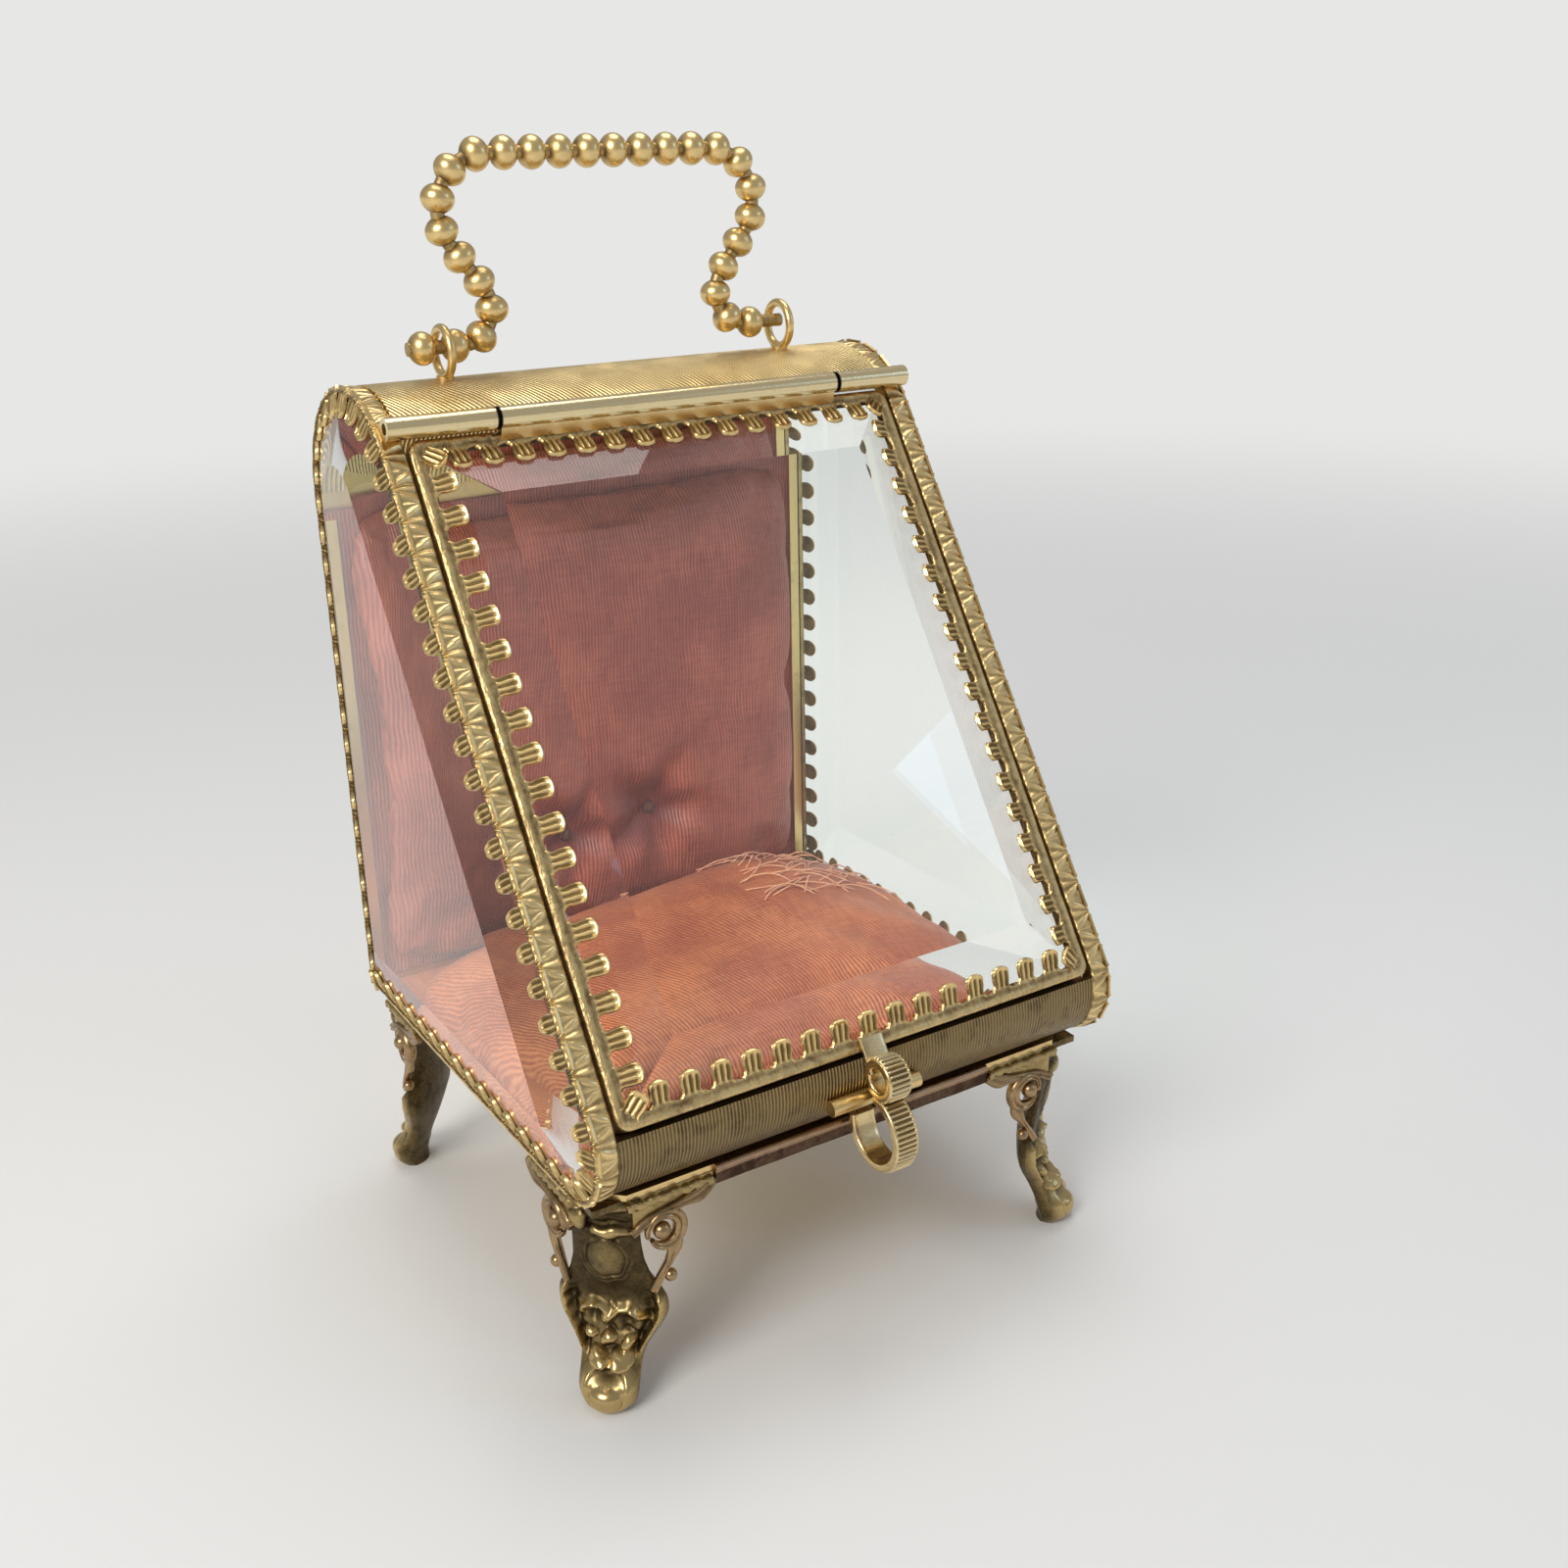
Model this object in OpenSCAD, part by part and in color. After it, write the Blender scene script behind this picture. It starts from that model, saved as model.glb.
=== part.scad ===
// Small bevelled-glass casket: a sloping glass door hinged at the crown, folded gilt
// claws round every pane, a beaded bail, a sprung clasp and four scrolled corner feet.
// Origin on the table under the middle, X to the right, Y to the back, Z up.

/* [Case] */
// Width of the case over its side bands
case_w = 75; // [66:0.5:90]
// Height of the case from its underside to the top of the crown
case_h = 85.6; // [78:0.1:100]
// Height of the case's underside above the table
case_lift = 29.3; // [26:0.1:34]
// Radius of the rounded crown
crown_r = 15; // [13:0.1:18]
// Lean of the front away from upright
slope_deg = 33.5; // [30:0.5:36]
// Radius where the front turns under to the base
lip_r = 8; // [7.4:0.1:9.5]
// Thickness of the gilt sheet
sheet_t = 0.6; // [0.45:0.05:0.8]
// Width of each side band
band_w = 3; // [2.6:0.1:4]
// Thickness of the base plate
base_t = 0.8; // [0.6:0.1:1.4]
// How far the base plate runs in front of the turned lip
base_out = 3.3; // [2.8:0.1:4]

/* [Panes and claws] */
// Thickness of the side panes at their edge
side_glass_t = 1.8; // [1.4:0.1:2.4]
// Width of the bevel on the side panes
side_bevel = 8.5; // [6:0.1:10]
// Rise of the bevel on the side panes
side_rise = 2.45; // [1.6:0.05:3]
// Depth of the ledge behind each side pane
ledge_w = 1.6; // [1.2:0.1:2.4]
// Spacing of the folded claws
claw_pitch = 4.1; // [3.8:0.1:5]
// Width of a claw at its root
claw_w = 2.4; // [2:0.1:2.6]
// Length of a claw
claw_l = 3; // [2.4:0.1:3.4]
// Thickness of a claw
claw_t = 0.5; // [0.35:0.05:0.6]

/* [Door] */
// Gap between the door and the side bands
door_gap = 0.45; // [0.3:0.05:0.8]
// How far the door's top edge stays below the hinge's centre
door_set = 0.99; // [0.8:0.05:1.2]
// How far the door runs past the foot of the slope
door_over = 1.6; // [1.2:0.1:2]
// Depth of the door frame
door_depth = 3.8; // [3.4:0.1:4.4]
// Width of the rim that holds the pane
rim_w = 1.9; // [1.7:0.1:2.4]
// Thickness of the rim
rim_t = 0.5; // [0.4:0.05:0.7]
// Radius of the door's corners
door_corner_r = 1.6; // [1.2:0.1:2.4]
// Width of the bevel on the door's pane
door_bevel = 6.65; // [5:0.05:8]
// Rise of the bevel on the door's pane
door_rise = 2.6; // [1.8:0.05:3]

/* [Hinge] */
// Angle of the hinge round the crown, from the back
hinge_at = 136.5; // [134:0.5:138]
// Radius of the hinge tube
tube_r = 1.35; // [1.2:0.05:1.5]
// Gap between the hinge tube and the crown
tube_gap = 0.3; // [0.25:0.05:0.4]
// Radius of the hinge pin
pin_r = 0.7; // [0.5:0.05:0.85]
// Running clearance of the pin in the door's knuckle
pin_fit = 0.05; // [0.02:0.01:0.1]
// How far each tube end stays inside the case's width
tube_in = 0.7; // [0.4:0.1:2]
// How deep the pin sits inside the tube's ends
pin_in = 1; // [0.4:0.1:2]
// Length of the left fixed knuckle
knuckle_left_l = 13.9; // [10:0.1:20]
// Length of the right fixed knuckle
knuckle_right_l = 11.3; // [8:0.1:20]
// Gap between neighbouring knuckles
knuckle_gap = 0.25; // [0.15:0.05:0.4]

/* [Clasp] */
// Sideways place of the clasp
clasp_x = -0.5; // [-6:0.1:6]
// Width of the clasp
clasp_w = 3.3; // [2.6:0.1:5]
// Outer radius of the clasp's upper eye
eye_r = 2.85; // [2.5:0.05:3.1]
// Radius of the hole in the upper eye
eye_hole_r = 1.5; // [1:0.1:1.8]
// Outer radius of the clasp's thumb loop
loop_r = 5.2; // [4.8:0.1:5.4]
// Thickness of the thumb loop
loop_t = 1.3; // [1:0.05:1.4]
// Gap between the upper eye and the apron
clasp_gap = 0.35; // [0.3:0.05:0.5]
// Radius of the catch bar
bar_r = 1; // [0.8:0.05:1.1]
// Length of the catch bar
bar_l = 12.8; // [8:0.2:20]
// Angle of the catch bar round the lip, from the back
bar_at = 199; // [198:0.5:200]

/* [Handle] */
// Distance of the bail's pivot from the back
pivot_back = 15.5; // [14:0.1:17]
// Distance of each handle ring in from the side of the case
ring_in = 13.2; // [12.9:0.1:13.5]
// Outer radius of the handle rings
ring_r = 3.4; // [3.2:0.05:3.8]
// Radius of the rings' wire
ring_wire = 0.55; // [0.4:0.05:0.7]
// How deep each ring is soldered into the crown
ring_sink = 0.2; // [0.1:0.05:0.3]
// Height of the bail's pivot above the crown
pivot_h = 3.8; // [3.6:0.05:4.1]
// Sideways shift of the bail
bail_shift = -1.5; // [-1.7:0.1:-1.3]
// How far the bail's straight top ends inside the rings
bail_in = 8.8; // [8.3:0.1:9.3]
// Height of the bail above its pivot
bail_h = 22.1; // [21.6:0.1:23]
// Radius of the bail's upper corners
bail_corner_r = 6.5; // [6:0.1:7]
// Radius of the bail's lower curls
bail_curl_r = 4.2; // [4:0.1:4.4]
// Angle that each upper corner turns through
bail_turn = 128; // [126:1:130]
// Radius of the beads across the wire
bead_r = 2.15; // [2:0.05:2.2]
// Length of a bead along the wire, as a share of its width
bead_long = 0.86; // [0.8:0.01:0.87]
// Spacing of the beads, before it is evened out to fill the bail
bead_pitch = 3.72; // [3.6:0.01:3.8]
// Radius of the bail's bare neck
neck_r = 0.9; // [0.7:0.05:1.1]

/* [Feet] */
// How far the feet stand out in front of the base plate
foot_out = 0.9; // [0.7:0.1:1.3]
// How far the feet stand out at the sides of the base plate
foot_side = 0.3; // [0.2:0.05:0.6]
// Length of each foot's wings
wing_l = 17; // [15:0.5:20]
// Thickness of the wings
wing_t = 1.4; // [1.1:0.1:2]
// Depth of the front rail below the base plate
rail_h = 1.6; // [1.2:0.1:2]
// Radius of the front rail's rolled edge
rail_r = 0.35; // [0.3:0.05:0.4]
// Outer radius of the scrolls
scroll_r = 3.1; // [2.6:0.1:3.4]
// Width of the scrolls' band
scroll_band = 1.2; // [0.9:0.1:1.5]
// Thickness of the leg at the ankle
leg_t = 2.6; // [2:0.1:3.4]
// How far the corner is cut back at the top of the leg
corner_cut = 4.25; // [3.8:0.05:4.6]

/* [Lining] */
// Thickness of the lining cards
card_t = 1.2; // [0.8:0.1:1.6]
// Thickness of the back cushion
back_pad = 7.6; // [5:0.1:9]
// Thickness of the base cushion
base_pad = 11.4; // [7:0.1:13]
// Sideways place of the tuft
tuft_x = 4.5; // [-12:0.5:12]
// Height of the tuft above the case's underside
tuft_h = 19; // [16:0.5:40]
// Depth of the tuft
tuft_dip = 4.2; // [2:0.1:4.6]
// Radius of the tuft's knot
knot_r = 1; // [0.8:0.1:1.1]
// Gap between the knot and the bottom of the tuft
knot_gap = 0.25; // [0.2:0.05:0.4]
// Gap round the lining
lining_gap = 0.5; // [0.3:0.1:1]

/* [Hidden] */
$fn = 32;

// The case's section lies in the Y-Z plane: [y, z] pairs, angles from +Y towards +Z
base_z = case_lift;
up_slope = [sin(slope_deg), cos(slope_deg)];
out_slope = [-cos(slope_deg), sin(slope_deg)];
slope_at = 180 - slope_deg;
// Depth from the back to the lip's centre, and from there to the front of the clasp
lip_depth = crown_r - crown_r * out_slope[0]
    + ((case_h - crown_r + crown_r * out_slope[1] - lip_r) * out_slope[1] - lip_r) / -out_slope[0];
apron_in = 0.3;
apron_r = lip_r - apron_in;
eye_at = 176.3;
eye_from_lip = (apron_r + clasp_gap + eye_r) * [cos(eye_at), sin(eye_at)];
eye_to_loop = (eye_r + loop_r - 0.58) * [cos(-82.3), sin(-82.3)];
front_depth = lip_depth - eye_from_lip[0] - eye_to_loop[0] + loop_r;
back_y = (front_depth - foot_out) / 2;

crown_c = [back_y - crown_r, base_z + case_h - crown_r];
slope_top = crown_c + crown_r * out_slope;
lip_c = lip_centre(0, lip_r);
slope_l = norm(slope_top - (lip_c + lip_r * out_slope));
eye_c = lip_c + eye_from_lip;
loop_c = eye_c + eye_to_loop;
bar_c = lip_c + (apron_r + bar_r - 0.1) * [cos(bar_at), sin(bar_at)];
hinge_c = crown_c + (crown_r + tube_r + tube_gap) * [cos(hinge_at), sin(hinge_at)];
hinge_y = (hinge_c - slope_top) * up_slope;
hinge_z = (hinge_c - slope_top) * out_slope;

inner_w = case_w - 2 * band_w;
glass_in = case_w / 2 - 0.6 - side_glass_t;
glass_out = case_w / 2 - 0.6;
side_tilt = atan(side_rise / side_bevel);
door_w = inner_w - 2 * door_gap;
door_y1 = hinge_y - door_set;
door_y0 = -slope_l - door_over;
door_glass_top = -rim_t;
door_glass_back = -door_depth + 0.45;
door_tilt = atan(door_rise / door_bevel);
strap_end = slope_at - asin((door_y1 + 0.55) / crown_r);
apron_start = slope_at + asin((door_over + 0.7) / apron_r);

tube_x = case_w / 2 - tube_in;
split_left = -tube_x + knuckle_left_l;
split_right = tube_x - knuckle_right_l;
base_front = lip_c[0] - base_out;
base_x = case_w / 2 - 0.5;
foot_x = base_x + foot_side;
foot_y = base_front - foot_out;
foot_h = case_lift - base_t;
pivot_c = [back_y - pivot_back, base_z + case_h + pivot_h];
ring_x = case_w / 2 - ring_in;
ring_z = base_z + case_h + ring_r - ring_sink;
bail_top = ring_x - bail_in;
// Where the bail's upper corner ends, its straight arm's length, and its half length
corner_end = [bail_top, bail_h - bail_corner_r] + bail_corner_r * [sin(bail_turn), cos(bail_turn)];
arm_l = (corner_end[1] - bail_curl_r * (1 - cos(bail_turn))) / sin(bail_turn);
bail_l = bail_top + (bail_corner_r + bail_curl_r) * bail_turn * PI / 180 + arm_l;
beads = 2 * round((bail_l + 0.46 * bead_r) / bead_pitch + 0.5);
bead_step = (bail_l + 0.46 * bead_r) / (beads / 2 - 0.5);
lining_x = inner_w / 2 - lining_gap;
back_face = back_y - sheet_t - card_t;
pad_x = lining_x - 1.8;
pad_z0 = base_z + 1.7;
pad_z1 = crown_c[1] - 3.2;

function arc_points(c, r, a0, a1, n) =
    [for (i = [0:n]) c + r * [cos(a0 + (a1 - a0) * i / n), sin(a0 + (a1 - a0) * i / n)]];
// Centre of the lip's arc of radius r when the whole outline is drawn in by d
function lip_centre(d, r) = let (z = base_z + d + r)
    [slope_top[0] + (-(d + r) - out_slope[1] * (z - slope_top[1])) / out_slope[0], z];
// Outline of the case's section, drawn in by d
function case_outline(d) = let (r = max(lip_r - d, 0.1)) concat(
    [[back_y - d, base_z + d]],
    arc_points(crown_c, crown_r - d, 0, slope_at, 26),
    arc_points(lip_centre(d, r), r, slope_at, 270, 16));
// Rounded rectangle of the door, drawn in by d
function door_outline(d) = let (r = max(door_corner_r - d, 0.15), x = door_w / 2 - d - r,
    y0 = door_y0 + d + r, y1 = door_y1 - d - r) concat(
    arc_points([x, y1], r, 0, 90, 4), arc_points([-x, y1], r, 90, 180, 4),
    arc_points([-x, y0], r, 180, 270, 4), arc_points([x, y0], r, 270, 360, 4));
// Point and outward angle at distance s along the case's outline, from its lower back corner
function case_station(s) =
    let (a = case_h - crown_r, b = a + crown_r * slope_at * PI / 180, c = b + slope_l,
         d = c + lip_r * (270 - slope_at) * PI / 180)
    s == 0 ? [[back_y, base_z], 315] :
    s < a ? [[back_y, base_z + s], 0] :
    s < b ? let (g = (s - a) / crown_r * 180 / PI) [crown_c + crown_r * [cos(g), sin(g)], g] :
    s < c ? [slope_top - (s - b) * up_slope, slope_at] :
    s < d ? let (g = slope_at + (s - c) / lip_r * 180 / PI) [lip_c + lip_r * [cos(g), sin(g)], g] :
    [[lip_c[0] + s - d, base_z], 270];
outline_l = (case_h - crown_r) + crown_r * slope_at * PI / 180 + slope_l
    + lip_r * (270 - slope_at) * PI / 180 + back_y - lip_c[0];

// A flat shape in the case's section, from x0 for a length t
module in_side(x0, t) translate([x0, 0, 0]) rotate([90, 0, 90]) linear_extrude(t) children();
// Solids drawn with x and y as the section's y and z, and z as the case's X
module section_frame(x0 = 0) translate([x0, 0, 0]) rotate([90, 0, 90]) children();
// The door's frame: X across, Y up the slope, Z out of it, zero at the top of the slope
module at_slope() translate([0, slope_top[0], slope_top[1]])
    rotate([90 - slope_deg, 0, 0]) children();
module mirrored() mirror([1, 0, 0]) children();

// A solid through rings of points, each ring counter-clockwise from above
module loft(rings) {
    n = len(rings[0]);
    m = len(rings);
    polyhedron(points = [for (r = rings) each r], faces = concat(
        [[for (i = [0:n - 1]) i]],
        [for (j = [0:m - 2], i = [0:n - 1]) [j * n + i, (j + 1) * n + i, (j + 1) * n + (i + 1) % n]],
        [for (j = [0:m - 2], i = [0:n - 1]) [j * n + i, (j + 1) * n + (i + 1) % n, j * n + (i + 1) % n]],
        [[for (i = [n - 1:-1:0]) (m - 1) * n + i]]));
}

// A domed solid over a grid of n by m points whose border lies in one plane
module dome(points, n, m) polyhedron(points = points, faces = concat(
    [for (j = [0:m - 2], i = [0:n - 2]) let (a = j * n + i, b = a + 1, c = a + n + 1, d = a + n)
        each (i < (n - 1) / 2) == (j < (m - 1) / 2) ? [[a, d, c], [a, c, b]] : [[a, d, b], [d, c, b]]],
    [concat([for (i = [0:n - 1]) i], [for (j = [1:m - 1]) j * n + n - 1],
        [for (i = [n - 2:-1:0]) (m - 1) * n + i], [for (j = [m - 2:-1:1]) j * n])]));

// Flat outline of one claw: waisted root, pointed leaf, running along +Y
claw_points = [[-claw_w / 2, 0], [claw_w / 2, 0], [claw_w / 2, claw_l * 0.62],
    [claw_w * 0.24, claw_l], [-claw_w * 0.24, claw_l], [-claw_w / 2, claw_l * 0.62]];
// Squarer outline of the door's claws
door_claw_points = [[-claw_w / 2, 0], [claw_w / 2, 0], [claw_w / 2, claw_l * 0.8],
    [claw_w * 0.36, claw_l], [-claw_w * 0.36, claw_l], [-claw_w / 2, claw_l * 0.8]];

// Sheet base with cut corners, on which everything stands
module base_plate() color("darkgoldenrod") {
    c = corner_cut * sqrt(2) + 0.4 - foot_out - foot_side;
    translate([0, 0, base_z - base_t]) linear_extrude(base_t) polygon([
        [-base_x + c, base_front], [base_x - c, base_front], [base_x, base_front + c],
        [base_x, back_y - c], [base_x - c, back_y], [-base_x + c, back_y],
        [-base_x, back_y - c], [-base_x, base_front + c]]);
}

// Narrow rolled rail along the front of the base, between the feet
module front_rail() color("goldenrod") {
    x = foot_x - wing_l;
    y = base_front - foot_out + 0.1;
    in_side(-x, 2 * x) polygon(concat(
        [[base_front, base_z - base_t - rail_h], [y, base_z - base_t - rail_h + 0.1]],
        arc_points([y + rail_r, base_z - 0.15], rail_r, 180, 0, 6),
        [[base_front, base_z - 0.2]]));
}

// Upright back sheet below the crown
module back_panel() color("goldenrod")
    translate([-inner_w / 2, back_y - sheet_t, base_z]) cube([inner_w, sheet_t, case_h - crown_r]);

// Rolled sheet over the crown, from the back panel to the door's top edge
module crown_strap() color("goldenrod") in_side(-inner_w / 2, inner_w) polygon(concat(
    arc_points(crown_c, crown_r, 0, strap_end, 26),
    arc_points(crown_c, crown_r - sheet_t, strap_end, 0, 26)));

// Rolled sheet under the door, with a flange that lies on the base plate
module front_apron() color("darkgoldenrod") in_side(-inner_w / 2, inner_w) polygon(concat(
    arc_points(lip_c, apron_r, apron_start, 270, 18),
    [[lip_c[0] + apron_in, base_z], [lip_c[0] + 5, base_z],
     [lip_c[0] + 5, base_z + apron_in + sheet_t]],
    arc_points(lip_c, apron_r - sheet_t, 270, apron_start, 18)));

// Side band with its inner ledge and a ring of claws folded over the pane's bevel
module claw_frame() color("goldenrod") {
    n = round(outline_l / claw_pitch);
    difference() {
        in_side(case_w / 2 - band_w, band_w) polygon(case_outline(0));
        in_side(case_w / 2 - band_w - 1, band_w + 2) polygon(case_outline(sheet_t + ledge_w));
        in_side(case_w / 2 - band_w + sheet_t, band_w) polygon(case_outline(sheet_t));
    }
    for (i = [0:n - 1]) {
        s = case_station(i * outline_l / n);
        p = s[0] - 0.3 * [cos(s[1]), sin(s[1])];
        translate([glass_out + 0.05 - 0.3 * tan(side_tilt), p[0], p[1]])
            rotate([s[1] + 90, 0, 0]) rotate([0, side_tilt, 0]) rotate([90, 0, 90])
                linear_extrude(claw_t) polygon(claw_points);
    }
}
module claw_frame_right() claw_frame();
module claw_frame_left() mirrored() claw_frame();

// Side pane: a flat edge held by the band, a wide bevel and a raised middle
module side_glass() color("lightblue", 0.4) hull() {
    in_side(glass_in, side_glass_t) polygon(case_outline(sheet_t));
    in_side(glass_out, side_rise) polygon(case_outline(sheet_t + side_bevel));
}
module side_glass_right() side_glass();
module side_glass_left() mirrored() side_glass();

// Leg profiles up the height as shares of foot_h: half width, set-back of the outer face
leg_half = [[0, 3.3], [0.03, 3.75], [0.11, 4.0], [0.18, 4.0], [0.25, 4.4], [0.32, 5.4],
    [0.39, 6.5], [0.44, 6.9], [0.5, 6.8], [0.55, 6.0], [0.6, 5.1], [0.68, 4.5],
    [0.78, 4.2], [0.9, 4.3], [1, 4.6]];
leg_back = [[0, 2.4], [0.03, 2.25], [0.11, 2.7], [0.18, 3.7], [0.25, 4.8], [0.32, 5.5],
    [0.39, 6], [0.5, 6.1], [0.6, 5.6], [0.72, 5.05], [0.85, 4.6], [1, corner_cut]];
leg_thick = [[0, 3.3], [0.1, 3.3], [0.25, leg_t], [1, leg_t - 0.3]];
function leg_ring(h) = let (w = lookup(h, leg_half), d = lookup(h, leg_back),
    t = lookup(h, leg_thick), s = sqrt(0.5)) [for (k = [0:11])
        let (l = k < 7 ? w * (k / 3 - 1) : w * (1 - (k - 6) / 3),
             q = k < 7 ? d + 0.9 * pow(abs(l) / w, 2) : d + t + 0.4 - pow(l / w, 2))
        [s * (q + l), s * (q - l), h * foot_h]];

// Outline of a foot's wing: a tapering blade that springs from the leg
wing_points = concat([[4.4, foot_h], [4.4, foot_h * 0.55], [5.6, foot_h * 0.53]],
    [[5.4, foot_h * 0.62], [5.7, foot_h * 0.72], [6.4, foot_h * 0.8], [7.6, foot_h * 0.862],
     [9.5, foot_h * 0.895], [12, foot_h * 0.905], [14, foot_h * 0.9],
     [wing_l - 1.6, foot_h * 0.915], [wing_l - 0.5, foot_h * 0.94], [wing_l, foot_h * 0.965],
     [wing_l, foot_h]]);

// One wing in the X-Z plane, from y = 0 inwards, with its scroll, leaf and bead
module foot_wing() {
    c = [9.6, foot_h * 0.785];
    translate([0, wing_t, 0]) rotate([90, 0, 0]) {
        linear_extrude(wing_t) polygon(wing_points);
        translate([0, 0, 0.05]) linear_extrude(wing_t - 0.1) polygon(concat(
            arc_points(c, scroll_r, -95, 150, 16),
            arc_points(c, scroll_r - scroll_band, 150, -60, 14)));
        translate([c[0] - 0.3, c[1] + scroll_r - scroll_band - 0.9, wing_t * 0.5])
            sphere(r = 1.15, $fn = 12);
        linear_extrude(wing_t * 0.8) polygon([[5, foot_h * 0.5], [6.9, foot_h * 0.55],
            [7.9, foot_h * 0.62], [9.4, c[1] - scroll_r + 0.2], [10.6, c[1] - scroll_r + 1.1],
            [9, c[1] - scroll_r + 1.9], [7.4, foot_h * 0.69], [6.3, foot_h * 0.635],
            [5, foot_h * 0.58]]);
        translate([8, foot_h * 0.6, wing_t * 0.5]) sphere(r = 0.85, $fn = 12);
    }
}

// Corner foot at the front left: leg on the diagonal, two wings, a gusset under the plate
module foot() color("darkgoldenrod") {
    loft([for (r = leg_half) leg_ring(r[0])]);
    foot_wing();
    mirror([1, -1, 0]) foot_wing();
    translate([0, 0, foot_h - 1]) linear_extrude(1)
        polygon([[5, wing_t * 0.9], [14, wing_t * 0.9], [wing_t * 0.9, 14], [wing_t * 0.9, 5]]);
    // Rolled moulding along the front wing, level with the rail
    translate([6, 0.1, foot_h - 0.2]) cube([wing_l - 6, foot_out - 0.15, base_t + 0.2]);
}
module foot_at(sx, sy) translate([sx * foot_x, sy < 0 ? foot_y : back_y + foot_out, 0])
    mirror([sx > 0 ? 1 : 0, 0, 0]) mirror([0, sy > 0 ? 1 : 0, 0]) foot();
module foot_front_left() foot_at(-1, -1);
module foot_front_right() foot_at(1, -1);
module foot_back_left() foot_at(-1, 1);
module foot_back_right() foot_at(1, 1);

// Solid crown cylinder that seats cut themselves against
module crown_core() section_frame() translate([crown_c[0], crown_c[1], -case_w])
    cylinder(r = crown_r, h = 2 * case_w, $fn = 96);

// Fixed length of hinge tube, soldered to the crown along its underside
module fixed_knuckle(x0, x1) color("peru") difference() {
    union() {
        section_frame(x0) translate([hinge_c[0], hinge_c[1], 0]) cylinder(r = tube_r, h = x1 - x0);
        difference() {
            section_frame(x0) translate([crown_c[0], crown_c[1], 0]) rotate([0, 0, hinge_at])
                linear_extrude(x1 - x0) polygon([[crown_r - 0.1, 0.3], [crown_r + tube_gap + 0.15, 0.6],
                    [crown_r + tube_gap + tube_r, 0.2], [crown_r + tube_gap + 0.75, -1.1],
                    [crown_r - 0.3, -1.9]]);
            crown_core();
        }
    }
    section_frame(x0 - 1) translate([hinge_c[0], hinge_c[1], 0]) cylinder(r = pin_r, h = x1 - x0 + 2);
}
module hinge_knuckle_left() fixed_knuckle(-tube_x, split_left - knuckle_gap / 2);
module hinge_knuckle_right() fixed_knuckle(split_right + knuckle_gap / 2, tube_x);

// Long middle knuckle, soldered along the door's rim
module hinge_knuckle_door() color("peru") {
    x0 = split_left + knuckle_gap / 2;
    x1 = split_right - knuckle_gap / 2;
    difference() {
        union() {
            section_frame(x0) translate([hinge_c[0], hinge_c[1], 0]) cylinder(r = tube_r, h = x1 - x0);
            at_slope() section_frame(x0 + 0.2) linear_extrude(x1 - x0 - 0.4) polygon([
                [hinge_y - tube_r + 0.05, hinge_z], [door_y1 - 1.3, 0], [door_y1, 0],
                [hinge_y - 0.29 * tube_r, hinge_z - 0.952 * tube_r], [hinge_y, hinge_z]]);
        }
        section_frame(x0 - 1) translate([hinge_c[0], hinge_c[1], 0])
            cylinder(r = pin_r + pin_fit, h = x1 - x0 + 2);
    }
}

module hinge_pin() color("saddlebrown") section_frame(-tube_x + pin_in)
    translate([hinge_c[0], hinge_c[1], 0]) cylinder(r = pin_r, h = 2 * (tube_x - pin_in));

// Catch bar soldered to the apron
module clasp_bar() color("gold") difference() {
    section_frame(clasp_x - bar_l / 2) translate([bar_c[0], bar_c[1], 0])
        cylinder(r = bar_r, h = bar_l);
    section_frame(clasp_x - bar_l) translate([lip_c[0], lip_c[1], 0])
        cylinder(r = apron_r, h = 2 * bar_l, $fn = 96);
}

// Sprung clasp: a tab on the door's rim, an eye, and a thumb loop that hooks round the bar
module clasp() color("burlywood") {
    difference() {
        union() {
            section_frame(clasp_x - clasp_w / 2) translate([eye_c[0], eye_c[1], 0])
                cylinder(r = eye_r, h = clasp_w);
            at_slope() translate([clasp_x - clasp_w / 2, door_y0 - 2, 0])
                cube([clasp_w, 3.5, 0.8]);
        }
        section_frame(clasp_x - clasp_w) translate([eye_c[0], eye_c[1], 0])
            cylinder(r = eye_hole_r, h = 2 * clasp_w);
    }
    section_frame(clasp_x) translate([loop_c[0], loop_c[1], 0]) rotate([0, 0, 92])
        rotate_extrude(angle = 271, $fn = 64) translate([loop_r - loop_t, -clasp_w / 2])
            square([loop_t, clasp_w]);
}

// Wire ring standing on the crown, through which the bail's end passes
module handle_ring(x) color("gold") difference() {
    union() {
        section_frame(x) translate([pivot_c[0], ring_z, 0])
            rotate_extrude($fn = 48) translate([ring_r - ring_wire, 0]) circle(r = ring_wire, $fn = 24);
        translate([x, pivot_c[0], base_z + case_h - 0.4]) cylinder(r = 1.1, h = 0.75);
    }
    crown_core();
}
module handle_ring_left() handle_ring(-ring_x);
module handle_ring_right() handle_ring(ring_x);

// Centre line of the bail's right half at distance s from the middle: [x, height]
function bail_point(s) =
    let (a = bail_top, b = a + bail_corner_r * bail_turn * PI / 180,
         dir = [cos(bail_turn), -sin(bail_turn)], c = b + arm_l,
         g = corner_end + arm_l * dir + bail_curl_r * [sin(bail_turn), cos(bail_turn)])
    s <= a ? [s, bail_h] :
    s <= b ? let (t = (s - a) / bail_corner_r * 180 / PI)
        [a, bail_h - bail_corner_r] + bail_corner_r * [sin(t), cos(t)] :
    s <= c ? corner_end + (s - b) * dir :
    s <= bail_l ? let (t = bail_turn - (s - c) / bail_curl_r * 180 / PI)
        g - bail_curl_r * [sin(t), cos(t)] :
    [g[0] + s - bail_l, 0];
function bail_at(s) = let (p = bail_point(abs(s))) [bail_shift + sign(s) * p[0], p[1]];

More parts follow.
